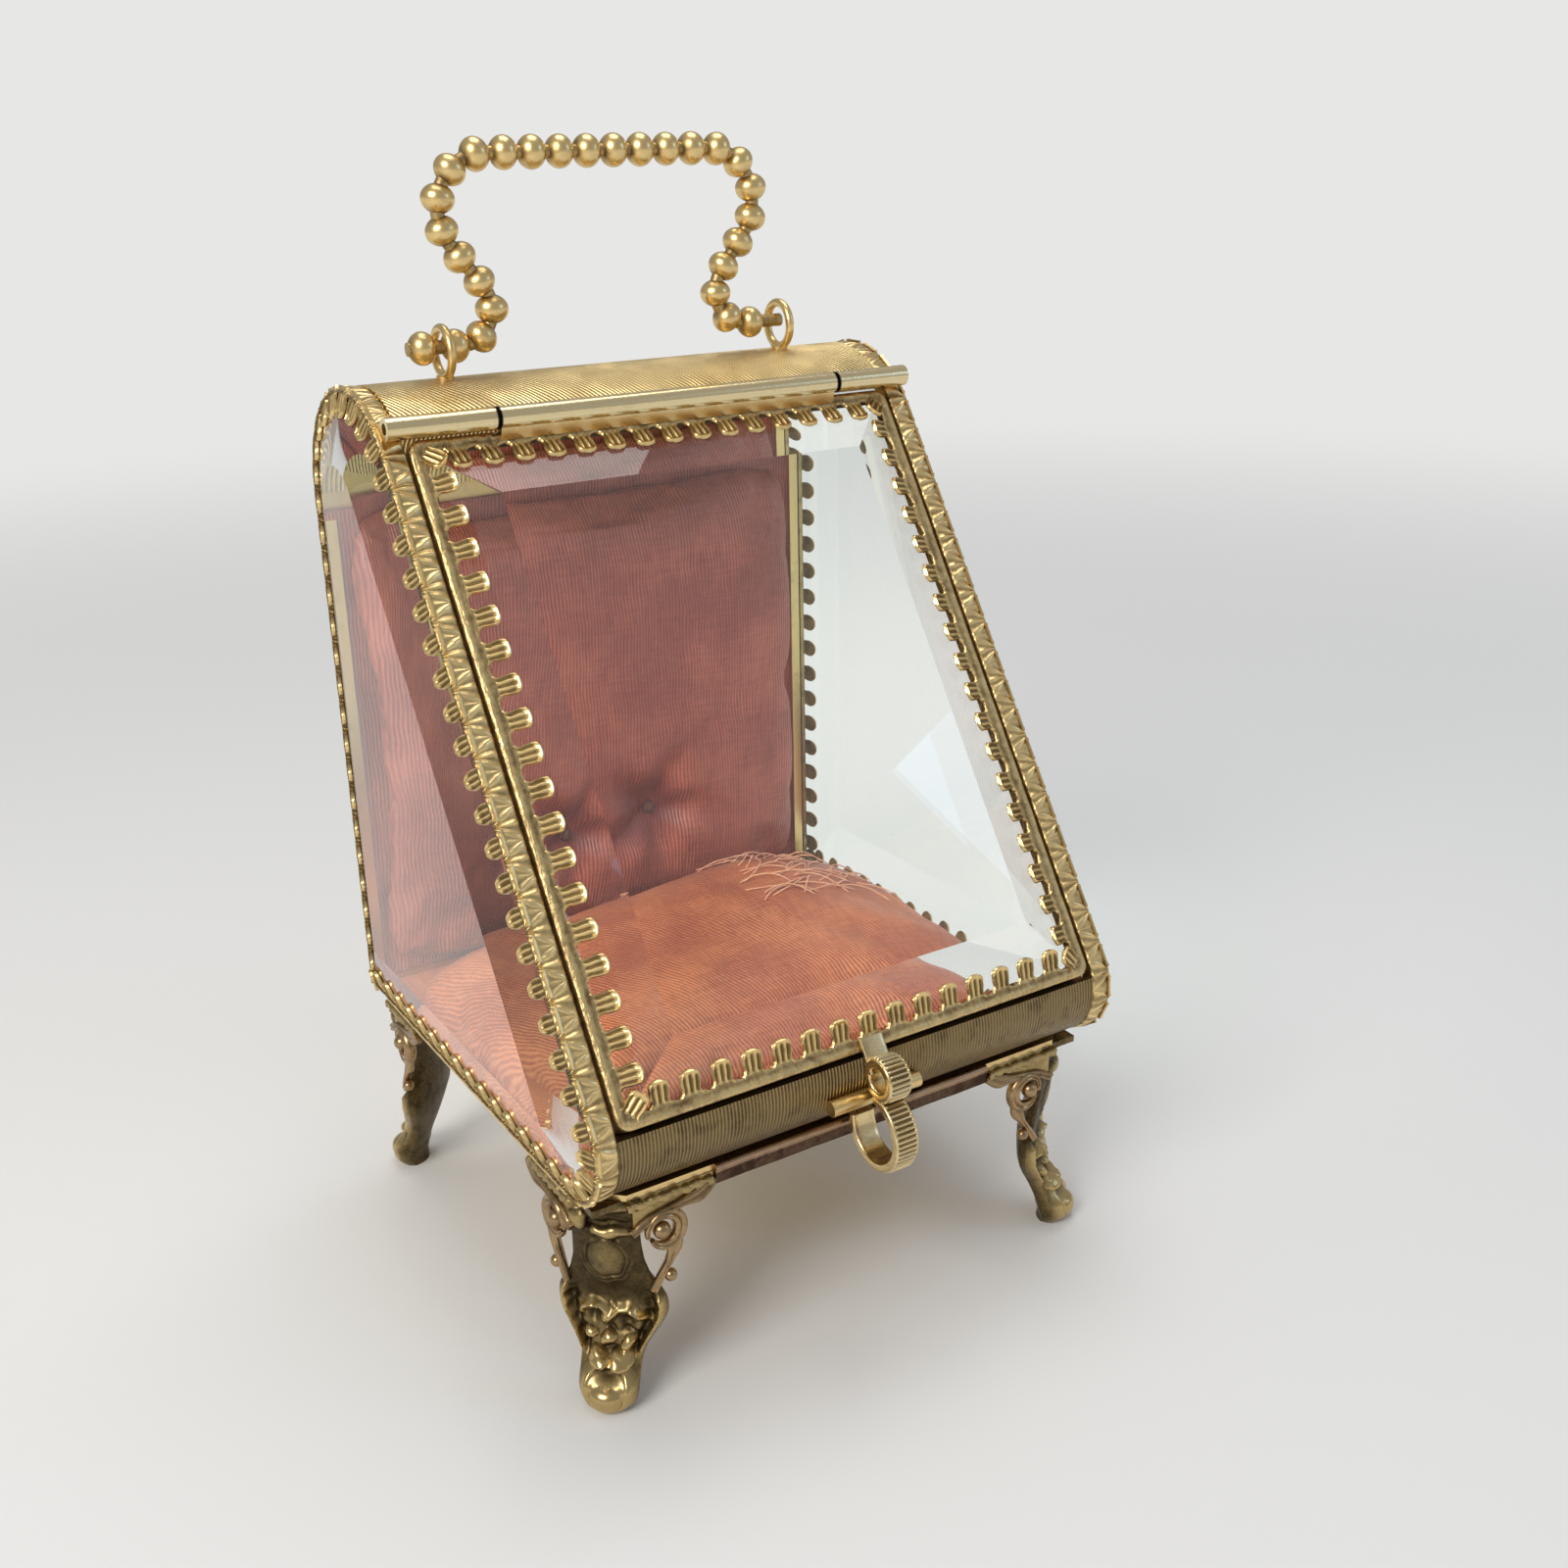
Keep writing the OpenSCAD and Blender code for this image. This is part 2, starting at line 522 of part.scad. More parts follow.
// A bar of n sides between two points of the bail's plane
module bail_link(p, q, r) translate([p[0], 0, p[1]])
    rotate([0, 90 - atan2(q[1] - p[1], q[0] - p[0]), 0]) cylinder(r = r, h = norm(q - p), $fn = 8);

// A flattened bead at a point of the bail's plane, its hole along a slope
module bead(p, slope) translate([p[0], 0, p[1]]) rotate([0, -slope, 0]) scale([bead_long, 1, 1])
    sphere(r = bead_r, $fn = 12);

// Beaded bail: a wire strung with beads, its bare ends through the two rings
module bail() color("gold") translate([0, pivot_c[0], pivot_c[1]]) {
    last = beads - 1;
    at = [for (i = [0:last]) bail_at((i - last / 2) * bead_step)];
    for (i = [0:last]) {
        run = at[min(i + 1, last)] - at[max(i - 1, 0)];
        bead(at[i], atan2(run[1], run[0]));
    }
    for (i = [1:last]) bail_link(at[i - 1], at[i], neck_r - 0.1);
    x = -ring_x - ring_wire - bead_long * bead_r - 0.25;
    bead([x, 0], 0);
    section_frame(x) cylinder(r = neck_r, h = at[0][0] - x);
    section_frame(at[last][0]) cylinder(r = neck_r, h = ring_x + 0.9 - at[last][0]);
}

// Stiff card behind the back cushion
module back_card() color("wheat") translate([-lining_x, back_face, base_z])
    cube([2 * lining_x, card_t, pad_z1 + 1 - base_z]);

// Depth of the back cushion at x, z, with u, v from -1 to 1 over it and a tuft drawn in
function pad_depth(x, z, u, v) = back_pad * pow((1 - pow(u, 4)) * (1 - pow(v, 4)), 0.5)
    - tuft_dip * exp(-(pow(x - tuft_x, 2) + pow(z - tuft_h, 2)) / 40)
        * (1 - pow(u, 4)) * (1 - pow(v, 4));
// Shares of a span crowded towards its ends, moved so that share k lands on t
function pad_share(i, k, t) = let (s = (1 + sin(i * 10 - 90)) / 2, m = (1 + sin(k * 10 - 90)) / 2)
    i <= k ? s * t / m : 1 - (1 - s) * (1 - t) / (1 - m);
pad_low = pad_z0 - base_z;
pad_high = pad_z1 - base_z;
module back_cushion() color("rosybrown") {
    tx = (tuft_x + pad_x) / (2 * pad_x);
    tz = (tuft_h - pad_low) / (pad_high - pad_low);
    kx = round((90 + asin(2 * tx - 1)) / 10);
    kz = round((90 + asin(2 * tz - 1)) / 10);
    translate([0, back_face, base_z]) rotate([90, 0, 0]) dome([for (j = [0:18], i = [0:18])
        let (u = 2 * pad_share(i, kx, tx) - 1, v = 2 * pad_share(j, kz, tz) - 1,
             edge = i == 0 || i == 18 || j == 0 || j == 18,
             x = u * pad_x, z = pad_low + (v + 1) / 2 * (pad_high - pad_low))
        [x * (1 - 0.02 * (1 - v * v) * pow(u, 6)), z - 0.8 * v * (1 - u * u) * pow(v, 6),
         edge ? 0 : pad_depth(x, z, u, v)]], 19, 19);
}

// Knot of thread that draws the back cushion in
module back_tuft() color("indianred")
    translate([tuft_x, back_face - pad_depth(tuft_x, tuft_h,
        tuft_x / pad_x, 2 * (tuft_h - pad_low) / (pad_high - pad_low) - 1) - knot_r - knot_gap,
        base_z + tuft_h]) sphere(r = knot_r);

// Gilt edging that frames the back lining at its foot and sides
module back_trim() color("gold") translate([0, back_face, base_z]) rotate([90, 0, 0])
    linear_extrude(0.8) polygon([[-lining_x, 0], [lining_x, 0], [lining_x, pad_z1 - base_z],
        [lining_x - 1.4, pad_z1 - base_z], [lining_x - 1.4, 1.4], [-lining_x + 1.4, 1.4],
        [-lining_x + 1.4, pad_z1 - base_z], [-lining_x, pad_z1 - base_z]]);

// Stiff card under the base cushion, in front of the back lining
module base_card() color("wheat") {
    y0 = lip_c[0] + 5.4;
    translate([-lining_x, y0, base_z]) cube([2 * lining_x, back_face - 0.9 - y0, 0.8]);
}

// Domed cushion on the base card
module base_cushion() color("lightcoral") {
    y0 = lip_c[0] + 6;
    y1 = back_face - back_pad - 0.8;
    translate([0, (y0 + y1) / 2, base_z + 0.8]) dome([for (j = [0:16], i = [0:16])
        let (u = sin(i * 11.25 - 90), v = sin(j * 11.25 - 90),
             w = pow((1 - pow(u, 4)) * (1 - pow(v, 4)), 0.5))
        [u * (lining_x - 0.4) * (1 - 0.025 * (1 - v * v)), v * (y1 - y0) / 2 * (1 - 0.02 * (1 - u * u)),
         (i == 0 || i == 16 || j == 0 || j == 16) ? 0 : base_pad * w
            * (1 - 0.12 * (u * u + v * v))]], 17, 17);
}

// Door frame: a channel round the pane with a front rim and its own ring of claws
module door_frame() color("goldenrod") at_slope() {
    difference() {
        translate([0, 0, -door_depth]) linear_extrude(door_depth) polygon(door_outline(0));
        translate([0, 0, -door_depth - 1]) linear_extrude(door_depth + 2) polygon(door_outline(rim_w));
        translate([0, 0, door_glass_back]) linear_extrude(door_glass_top - door_glass_back)
            polygon(door_outline(sheet_t));
    }
    e = rim_w - 0.25;
    wx = door_w - 2 * e;
    wy = door_y1 - door_y0 - 2 * e;
    nx = round(wx / claw_pitch);
    ny = round(wy / claw_pitch);
    for (i = [1:nx - 1], k = [0, 1])
        door_claw([-wx / 2 + i * wx / nx, k == 0 ? door_y0 + e : door_y1 - e], k * 180);
    for (i = [1:ny - 1], k = [0, 1])
        door_claw([k == 0 ? -wx / 2 : wx / 2, door_y0 + e + i * wy / ny], k == 0 ? -90 : 90);
    for (sx = [-1, 1], sy = [-1, 1])
        door_claw([sx * wx / 2, sy < 0 ? door_y0 + e : door_y1 - e], atan2(sx, -sy));
}
// One claw of the door, at a point of the rim, leaning out over the bevel
module door_claw(p, turn) translate([p[0], p[1], door_glass_top + 0.01]) rotate([0, 0, turn])
    rotate([door_tilt, 0, 0]) linear_extrude(claw_t) polygon(door_claw_points);

// Door pane: flat edge in the channel, bevel and raised middle
module door_glass() color("lightblue", 0.4) at_slope() {
    translate([0, 0, door_glass_back]) linear_extrude(door_glass_top - door_glass_back)
        polygon(door_outline(sheet_t));
    hull() {
        translate([0, 0, door_glass_top - 0.5]) linear_extrude(0.5) polygon(door_outline(rim_w + 0.05));
        translate([0, 0, door_glass_top]) linear_extrude(door_rise)
            polygon(door_outline(rim_w + 0.05 + door_bevel));
    }
}

base_plate();
front_rail();
back_panel();
crown_strap();
front_apron();
claw_frame_left();
claw_frame_right();
side_glass_left();
side_glass_right();
foot_front_left();
foot_front_right();
foot_back_left();
foot_back_right();
hinge_knuckle_left();
hinge_knuckle_right();
hinge_pin();
clasp_bar();
handle_ring_left();
handle_ring_right();
back_card();
back_cushion();
base_card();
base_cushion();
back_tuft();
back_trim();
door_frame();
door_glass();
hinge_knuckle_door();
clasp();
bail();
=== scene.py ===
import math

import bmesh
import bpy
import numpy as np
from mathutils import Matrix, Vector


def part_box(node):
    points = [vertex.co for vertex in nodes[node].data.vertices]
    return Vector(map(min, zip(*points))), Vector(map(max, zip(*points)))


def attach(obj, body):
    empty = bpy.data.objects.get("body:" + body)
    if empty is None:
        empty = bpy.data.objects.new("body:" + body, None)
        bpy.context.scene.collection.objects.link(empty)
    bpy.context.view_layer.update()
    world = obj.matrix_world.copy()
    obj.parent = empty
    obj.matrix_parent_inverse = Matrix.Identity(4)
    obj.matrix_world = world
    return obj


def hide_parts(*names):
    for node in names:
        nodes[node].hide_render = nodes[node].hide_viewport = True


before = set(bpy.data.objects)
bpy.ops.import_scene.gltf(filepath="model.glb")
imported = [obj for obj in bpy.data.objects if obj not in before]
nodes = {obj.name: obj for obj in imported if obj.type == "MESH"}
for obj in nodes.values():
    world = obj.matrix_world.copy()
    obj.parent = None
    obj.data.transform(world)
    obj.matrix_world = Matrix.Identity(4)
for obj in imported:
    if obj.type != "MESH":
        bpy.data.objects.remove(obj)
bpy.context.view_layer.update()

# ---- Camera ----
# Stands in front of the box's left corner and a little above the crown, looking down on it.
# Its angles in degrees, place in metres and focal length follow the picture's perspective.
CAMERA_TURN = -32.19, -20.69, -1.14
CAMERA_AT = -0.10377, -0.1785, 0.1415
FOCAL_PX, PICTURE_PX, SENSOR = 1738.2, 1600, 36
yaw, pitch, lean = np.radians(CAMERA_TURN)
ahead = np.array([-np.sin(yaw) * np.cos(pitch), np.cos(yaw) * np.cos(pitch), np.sin(pitch)])
level = np.array([np.cos(yaw), np.sin(yaw), 0.0])
upright = np.cross(level, ahead)
right = np.cos(lean) * level + np.sin(lean) * upright
above = -np.sin(lean) * level + np.cos(lean) * upright
lens = bpy.data.cameras.new("camera")
lens.lens = SENSOR * FOCAL_PX / PICTURE_PX
lens.sensor_width = SENSOR
lens.clip_start = 0.01
camera = bpy.data.objects.new("camera", lens)
bpy.context.scene.collection.objects.link(camera)
turn = Matrix(np.stack([right, above, -ahead], 1).tolist()).to_4x4()
camera.matrix_world = Matrix.Translation(CAMERA_AT) @ turn
bpy.context.scene.camera = camera
bpy.context.scene.view_settings.view_transform = "Standard"

# ---- Floor and light ----
# A plain pale table top that fades into a plain pale room, lit by soft panels from the
# left and from overhead, and by two faint bluish ones from the front right.
ROOM = (0.80, 0.80, 0.79, 1)
ROOM_LIGHT = 0.4
FLOOR_HALF, FADE_FROM, FADE_TO = 9.0, 0.22, 0.75


class Wire:
    """A socket of a material's nodes. Sums, products and the like of wires add Math nodes."""

    def __init__(self, tree, socket):
        self.tree, self.socket = tree, socket

    def node(self, kind, settings, inputs, out=0):
        """Adds a node, sets it, joins or sets its inputs, and gives one output."""
        made = self.tree.nodes.new(kind)
        for key, value in settings.items():
            setattr(made, key, value)
        for key, value in inputs.items():
            if isinstance(value, Wire):
                self.tree.links.new(value.socket, made.inputs[key])
            else:
                made.inputs[key].default_value = value
        return Wire(self.tree, made.outputs[out])

    def math(self, operation, a, b=0.0):
        """The result of one Math node on a and b."""
        return self.node("ShaderNodeMath", {"operation": operation}, {0: a, 1: b})

    def __add__(self, other):
        return self.math("ADD", self, other)

    def __radd__(self, other):
        return self.math("ADD", other, self)

    def __sub__(self, other):
        return self.math("SUBTRACT", self, other)

    def __rsub__(self, other):
        return self.math("SUBTRACT", other, self)

    def __mul__(self, other):
        return self.math("MULTIPLY", self, other)

    def __rmul__(self, other):
        return self.math("MULTIPLY", other, self)

    def cosine(self):
        """The cosine of this wire, taken as an angle in radians."""
        return self.math("COSINE", self)

    def absolute(self):
        """This wire without its sign."""
        return self.math("ABSOLUTE", self)

    def between(self, low, high):
        """0 below low, 1 above high, and a smooth rise from one to the other."""
        return self.node("ShaderNodeMapRange", {"interpolation_type": "SMOOTHSTEP"},
                         {"Value": self, "From Min": low, "From Max": high})

    def noise(self, scale, detail, stretch=(1, 1, 1)):
        """Cloudy noise about 1/scale millimetres across, from a place in metres."""
        place = self.node("ShaderNodeVectorMath", {"operation": "MULTIPLY"},
                          {0: self, 1: tuple(1000 * v for v in stretch)})
        return self.node("ShaderNodeTexNoise", {}, {"Vector": place, "Scale": scale,
                                                    "Detail": detail})

    def mixed(self, low, high):
        """A colour from low to high as this wire goes from 0 to 1."""
        mix = self.tree.nodes.new("ShaderNodeMix")
        mix.data_type = "RGBA"
        self.tree.links.new(self.socket, mix.inputs[0])
        for socket, value in ((mix.inputs[6], low), (mix.inputs[7], high)):
            if isinstance(value, Wire):
                self.tree.links.new(value.socket, socket)
            else:
                socket.default_value = (*value, 1)
        return Wire(self.tree, mix.outputs[2])

    def axis(self, which):
        """One coordinate of a place, in millimetres."""
        return self.node("ShaderNodeSeparateXYZ", {}, {0: self}, which) * 1000.0

    def bump(self, depth):
        """A normal from this wire as a height, depth millimetres deep."""
        return self.node("ShaderNodeBump", {}, {"Height": self, "Distance": depth * 0.001})


def new_finish(name, **fixed):
    """A material with its surface's fixed values set, the object's own place, and the surface."""
    made = bpy.data.materials.new(name)
    made.use_nodes = True
    surface = made.node_tree.nodes["Principled BSDF"]
    for key, value in fixed.items():
        surface.inputs[key.replace("_", " ")].default_value = value
    place = made.node_tree.nodes.new("ShaderNodeTexCoord")
    return made, Wire(made.node_tree, place.outputs["Object"]), surface


def feed(surface, wires):
    """Joins wires to sockets of the surface."""
    for key, wire in wires.items():
        wire.tree.links.new(wire.socket, surface.inputs[key])


def shared(tree, factor, first, other, output="Material Output"):
    """Shows the first shader where factor is 0 and the other where it is 1."""
    either = tree.nodes.new("ShaderNodeMixShader")
    for socket, source in zip(either.inputs, (factor.socket, first.outputs[0], other.outputs[0])):
        tree.links.new(source, socket)
    tree.links.new(either.outputs[0], tree.nodes[output].inputs["Surface"])


# The floor: a flat square, whose far part glows at the room's own brightness.
pale, place, surface = new_finish("pale_table", Roughness=0.8)
surface.inputs["Base Color"].default_value = (0.79, 0.785, 0.77, 1)
glow = pale.node_tree.nodes.new("ShaderNodeEmission")
glow.inputs["Color"].default_value = ROOM
away = place.node("ShaderNodeVectorMath", {"operation": "LENGTH"}, {0: place}, 1)
shared(pale.node_tree, away.between(FADE_FROM, FADE_TO), surface, glow)
mesh = bpy.data.meshes.new("floor")
corners = [(x * FLOOR_HALF, y * FLOOR_HALF, 0) for x, y in ((-1, -1), (1, -1), (1, 1), (-1, 1))]
mesh.from_pydata(corners, [], [(0, 1, 2, 3)])
floor = bpy.data.objects.new("floor", mesh)
floor.data.materials.append(pale)
bpy.context.scene.collection.objects.link(floor)

# Each panel's width, power, place and colour. All are turned to the middle of the box.
AIM = Vector((0, 0, 0.08))
for name, size, power, stand, colour in (
        ("panel_left", 0.35, 3.3, (-0.55, -0.25, 0.5), (1.0, 0.97, 0.93)),
        ("panel_top", 0.45, 2.0, (0.1, 0.15, 0.8), (1.0, 0.99, 0.97)),
        ("panel_window", 0.15, 0.16, (0.60, -0.46, 0.42), (0.35, 0.58, 1.0)),
        ("panel_window_rim", 0.26, 0.4, (0.60, -0.46, 0.42), (0.45, 0.66, 1.0))):
    lamp = bpy.data.lights.new(name, "AREA")
    lamp.shape, lamp.size, lamp.energy, lamp.color = "SQUARE", size, power, colour
    panel = bpy.data.objects.new(name, lamp)
    panel.location = stand
    panel.rotation_euler = (Vector(stand) - AIM).to_track_quat("Z", "Y").to_euler()
    bpy.context.scene.collection.objects.link(panel)

# The room: plain and pale to the eye and through glass, and dimmer as a light on the box.
world = bpy.data.worlds.new("room")
bpy.context.scene.world = world
world.use_nodes = True
room = world.node_tree
light_of_room, plain_room = room.nodes["Background"], room.nodes.new("ShaderNodeBackground")
light_of_room.inputs["Color"].default_value = (0.95, 0.97, 1.0, 1)
light_of_room.inputs["Strength"].default_value = ROOM_LIGHT
plain_room.inputs["Color"].default_value = ROOM
ray = room.nodes.new("ShaderNodeLightPath")
direct, refracted, bounces = (Wire(room, ray.outputs[key])
                              for key in ("Is Camera Ray", "Is Transmission Ray", "Ray Depth"))
seen = direct.math("MAXIMUM", direct.math("MAXIMUM", direct, refracted),
                   bounces.math("GREATER_THAN", bounces, 5.5))
shared(room, seen, light_of_room, plain_room, "World Output")

# ---- Back panel, base plate and trim ----
# Plain gilt sheet soldered into the case, whose section is carried across the box: upright
# back, round crown, sloping front and a lip that turns under to the base.
CASE_W, CASE_H, SHEET = 75.0, 85.6, 0.6
LIFT, CROWN_R, LIP_R = 29.3, 15.0, 8.0
SLOPE = math.radians(33.5)
uphill = np.array([math.sin(SLOPE), math.cos(SLOPE)])
outward = np.array([-math.cos(SLOPE), math.sin(SLOPE)])
BACK = 39.5024
crown = np.array([BACK - CROWN_R, LIFT + CASE_H - CROWN_R])
slope_top = crown + CROWN_R * outward
lip = np.array([slope_top[0] + (-LIP_R - outward[1] * (LIFT + LIP_R - slope_top[1])) / outward[0],
                LIFT + LIP_R])


def gilding(name, bright, dull, relief=None, depth=0.05, copper_glow=None, dark=None, tarnish=0.3,
            polish=0.26):
    """Old fire gilding over brass: bright on what stands proud, dull and rougher in the
    hollows and in cloudy patches, with fine pits. relief is a function of place that gives a
    stamped pattern from -1 to 1; the copper function paints in a copper glow, a painted
    reflection, and the dark one darkens: painted shade in gaps between parts, darker patches."""
    made, place, surface = new_finish(name, Metallic=1.0)
    hollow = place.node("ShaderNodeAttribute", {"attribute_name": "hollow"}, {}, 2)
    cloud = place.noise(0.5, 5).between(0.45, 0.75)
    specks = place.noise(2.2, 3)
    worn = hollow * 0.85 + cloud * tarnish + (specks - 0.5) * 0.3
    height = specks * 0.25 + place.noise(7.0, 2) * 0.1
    if relief:
        wave = relief(place)
        worn = worn + (0.4 - wave * 0.6) * 0.5
        height = height + wave * (depth / 0.05)
    worn = worn.between(0.0, 1.0)
    colour = worn.mixed(bright, dull)
    # A painted copper reflection, then painted shade and darker patches, where those functions give them.
    if copper_glow:
        colour = copper_glow(place).mixed(colour, (0.66, 0.42, 0.17))
    if dark:
        colour = dark(place).mixed(colour, (0.03, 0.02, 0.015))
    feed(surface, {"Base Color": colour, "Roughness": polish + worn * 0.22 + specks * 0.08,
                   "Normal": height.bump(0.05)})
    return made


GILT, DULL_GILT = (0.82, 0.60, 0.27), (0.20, 0.13, 0.05)
gilt = gilding("gilt_sheet", GILT, DULL_GILT)


def refinish(name, finish):
    """Gives a carried-over solid its finish."""
    solid = nodes[name]
    solid.data.materials.clear()
    solid.data.materials.append(finish)


back_gilt = gilding("gilt_back", (0.68, 0.48, 0.21), (0.30, 0.20, 0.085), tarnish=0.25, polish=0.3)
refinish("back_panel", back_gilt)
refinish("base_plate", gilt)
refinish("back_trim", gilt)

# ---- Crown strap and apron ----
# Thin rolled sheets with fine ribs pressed in: slanting over the crown, upright on the
# apron under the door, whose foot is flanged to the base plate.
BAND_W, FLANGE, APRON_R = 3.0, 5.0, LIP_R - 0.3
CROWN_TO, APRON_FROM = math.radians(137.095), math.radians(163.88)
CROWN_RIB, APRON_RIB = 0.5, 0.46


def face_out(mesh):
    """Turns the faces of a closed mesh outwards."""
    shape = bmesh.new()
    shape.from_mesh(mesh)
    bmesh.ops.recalc_face_normals(shape, faces=shape.faces)
    shape.to_mesh(mesh)
    shape.free()


def skin(name, rings, loop=False, sharp=40, **marks):
    """A closed mesh through rings of points, an array of (pieces, rings, points, 3) in
    millimetres. Quads join neighbouring points and rings. With loop the last ring meets the
    first, and otherwise a face closes each end. marks are numbers kept at the points."""
    p = np.asarray(rings, float)
    p = p if p.ndim == 4 else p[None]
    n, r, k, _ = p.shape
    i, j = np.arange(r if loop else r - 1)[:, None], np.arange(k)[None, :]
    i2, j2 = (i + 1) % r, (j + 1) % k
    quads = np.stack([i * k + j, i * k + j2, i2 * k + j2, i2 * k + j], -1).reshape(1, -1, 4)
    start = np.arange(n)[:, None] * r * k
    faces = (quads + start[:, :, None]).reshape(-1, 4).tolist()
    if not loop:
        faces += (np.arange(k)[::-1][None] + start).tolist()
        faces += (np.arange((r - 1) * k, r * k)[None] + start).tolist()
    mesh = bpy.data.meshes.new(name)
    mesh.from_pydata((p.reshape(-1, 3) * 0.001).tolist(), [], faces)
    face_out(mesh)
    mesh.shade_smooth()
    mesh.set_sharp_from_angle(angle=math.radians(sharp))
    for mark, values in marks.items():
        layer = mesh.attributes.new(mark, "FLOAT", "POINT")
        layer.data.foreach_set("value", np.broadcast_to(values, p.shape[:3]).ravel())
    piece = bpy.data.objects.new(name, mesh)
    bpy.context.scene.collection.objects.link(piece)
    return piece


def dress(piece, finish, slot_name, body, *stands_for):
    """Gives a new piece its finish and the body it moves with; slot_name is not used."""
    piece.data.materials.clear()
    piece.data.materials.append(finish)
    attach(piece, body)
    if stands_for:
        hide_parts(*stands_for)
    return piece


def rolled(name, centre, radius, a0, a1, steps, tail=()):
    """A sheet rolled about an axis along X: an arc of outer radius, its thickness inwards,
    then any straight tail of [y, z] pairs for its outer and inner faces."""
    angle = np.linspace(a0, a1, steps)
    arc = np.stack([np.cos(angle), np.sin(angle)], -1)
    outer, inner = centre + radius * arc, centre + (radius - SHEET) * arc
    if len(tail):
        outer = np.concatenate([outer, [t[0] for t in tail]])
        inner = np.concatenate([inner, [t[1] for t in tail]])
    x = (CASE_W / 2 - BAND_W) * np.array([-1, 1, 1, -1])
    pair = np.stack([outer, outer, inner, inner], 1)
    rings = np.concatenate([np.broadcast_to(x[None, :, None], pair.shape[:2] + (1,)), pair], -1)
    return skin(name, rings, sharp=50)


def slant_ribs(place):
    """A cosine across the crown, of ribs that lean over it, fainter in uneven clouds."""
    lean = place.axis(0) * 0.80 + place.axis(1) * 0.60 + place.noise(0.15, 1) * 1.2
    return (lean * (2 * math.pi / CROWN_RIB)).cosine() * (0.45 + place.noise(0.25, 2) * 0.9)


def upright_ribs(place):
    """A cosine along the box's width, of ribs that run down the apron."""
    return (place.axis(0) * (2 * math.pi / APRON_RIB)).cosine()


crown_gilt = gilding("gilt_crown", (0.82, 0.62, 0.29), (0.32, 0.21, 0.09), slant_ribs, 0.08,
                     tarnish=0.15)
apron_gilt = gilding("gilt_apron", (0.33, 0.235, 0.11), (0.05, 0.033, 0.018), upright_ribs, 0.09)
dress(rolled("crown_sheet", crown, CROWN_R, 0, CROWN_TO, 90), crown_gilt, "gilt", "casket",
      "crown_strap")
flange = ([lip[0] + FLANGE, LIFT + 0.3], [lip[0] + FLANGE, LIFT + 0.3 + SHEET])
dress(rolled("apron_sheet", lip, APRON_R, APRON_FROM, 1.5 * math.pi, 60, [flange]), apron_gilt,
      "gilt", "casket", "front_apron")
# The apron's upper edge is turned in, close under the door's foot.
edge = APRON_FROM + np.array([0, 0, 1, 1]) * 0.3 / LIP_R
deep = np.array([APRON_R - 0.02, 3.6, 3.6, APRON_R - 0.02])
turned_in = lip + deep[:, None] * np.stack([np.cos(edge), np.sin(edge)], -1)
ends = np.array([-1.0, 1.0])[:, None] * (CASE_W / 2 - BAND_W - 0.05) + np.zeros(4)
rings = np.concatenate([ends[..., None], np.stack([turned_in] * 2)], -1)
# Its hollow mark of 0.9 dulls it all over: painted shade in the gap under the door's foot.
dress(skin("apron_edge", rings, hollow=0.9), gilt, "gilt", "casket")

# ---- Front rail ----
# A strip along the base's front edge between the feet, rolled to a bead at its top. Its
# gilding is rubbed through to a rosy metal.
RAIL_Y, RAIL_HALF, ROLL_R = lip[0] - 3.3, 20.3, 0.47
a = np.radians(np.linspace(235, -40, 20))
rolled_top = np.stack([RAIL_Y - 0.32 + ROLL_R * np.cos(a), LIFT - 0.3 + ROLL_R * np.sin(a)], -1)
strip = np.array([[RAIL_Y + 0.1, LIFT - 1.3], [RAIL_Y + 0.1, LIFT - 2.35], [RAIL_Y - 0.5, LIFT - 2.38],
                  [RAIL_Y - 0.58, LIFT - 2.2], [RAIL_Y - 0.58, LIFT - 1.0]])
section = np.concatenate([rolled_top, strip])
x = np.linspace(-RAIL_HALF, RAIL_HALF, 30)[:, None]
sway = 0.03 * np.sin(x * 0.7) + 0.02 * np.sin(x * 1.9 + 1)
rings = np.stack(np.broadcast_arrays(x, section[None, :, 0] + sway, section[None, :, 1]), -1)
rail_gilt = gilding("gilt_rail", (0.44, 0.29, 0.18), (0.06, 0.03, 0.018), tarnish=0.35, polish=0.24)
hollow = np.where(np.arange(len(section)) < 18, 0.1, 0.9)
dress(skin("rolled_rail", rings, hollow=hollow), rail_gilt, "gilt", "casket", "front_rail")

# ---- Side frames ----
# Each side pane sits in a band folded from sheet: a convex face stamped with little fans,
# an inner ledge, and a ring of claws bent down over the pane's bevel.
CLAWS, BAND_REACH, CLAW_X = 66, 3.4, 36.86
SIDE_TILT = math.atan(2.45 / 8.5)
SLOPE_L = float(np.linalg.norm(slope_top - (lip + LIP_R * outward)))
SLOPE_AT = math.pi - SLOPE
# Where each stretch of the section ends: back, crown, slope, lip and base.
lengths = np.cumsum([CASE_H - CROWN_R, CROWN_R * SLOPE_AT, SLOPE_L,
                     LIP_R * (1.5 * math.pi - SLOPE_AT), BACK - lip[0]])
AROUND = float(lengths[-1])
claw_step = AROUND / CLAWS


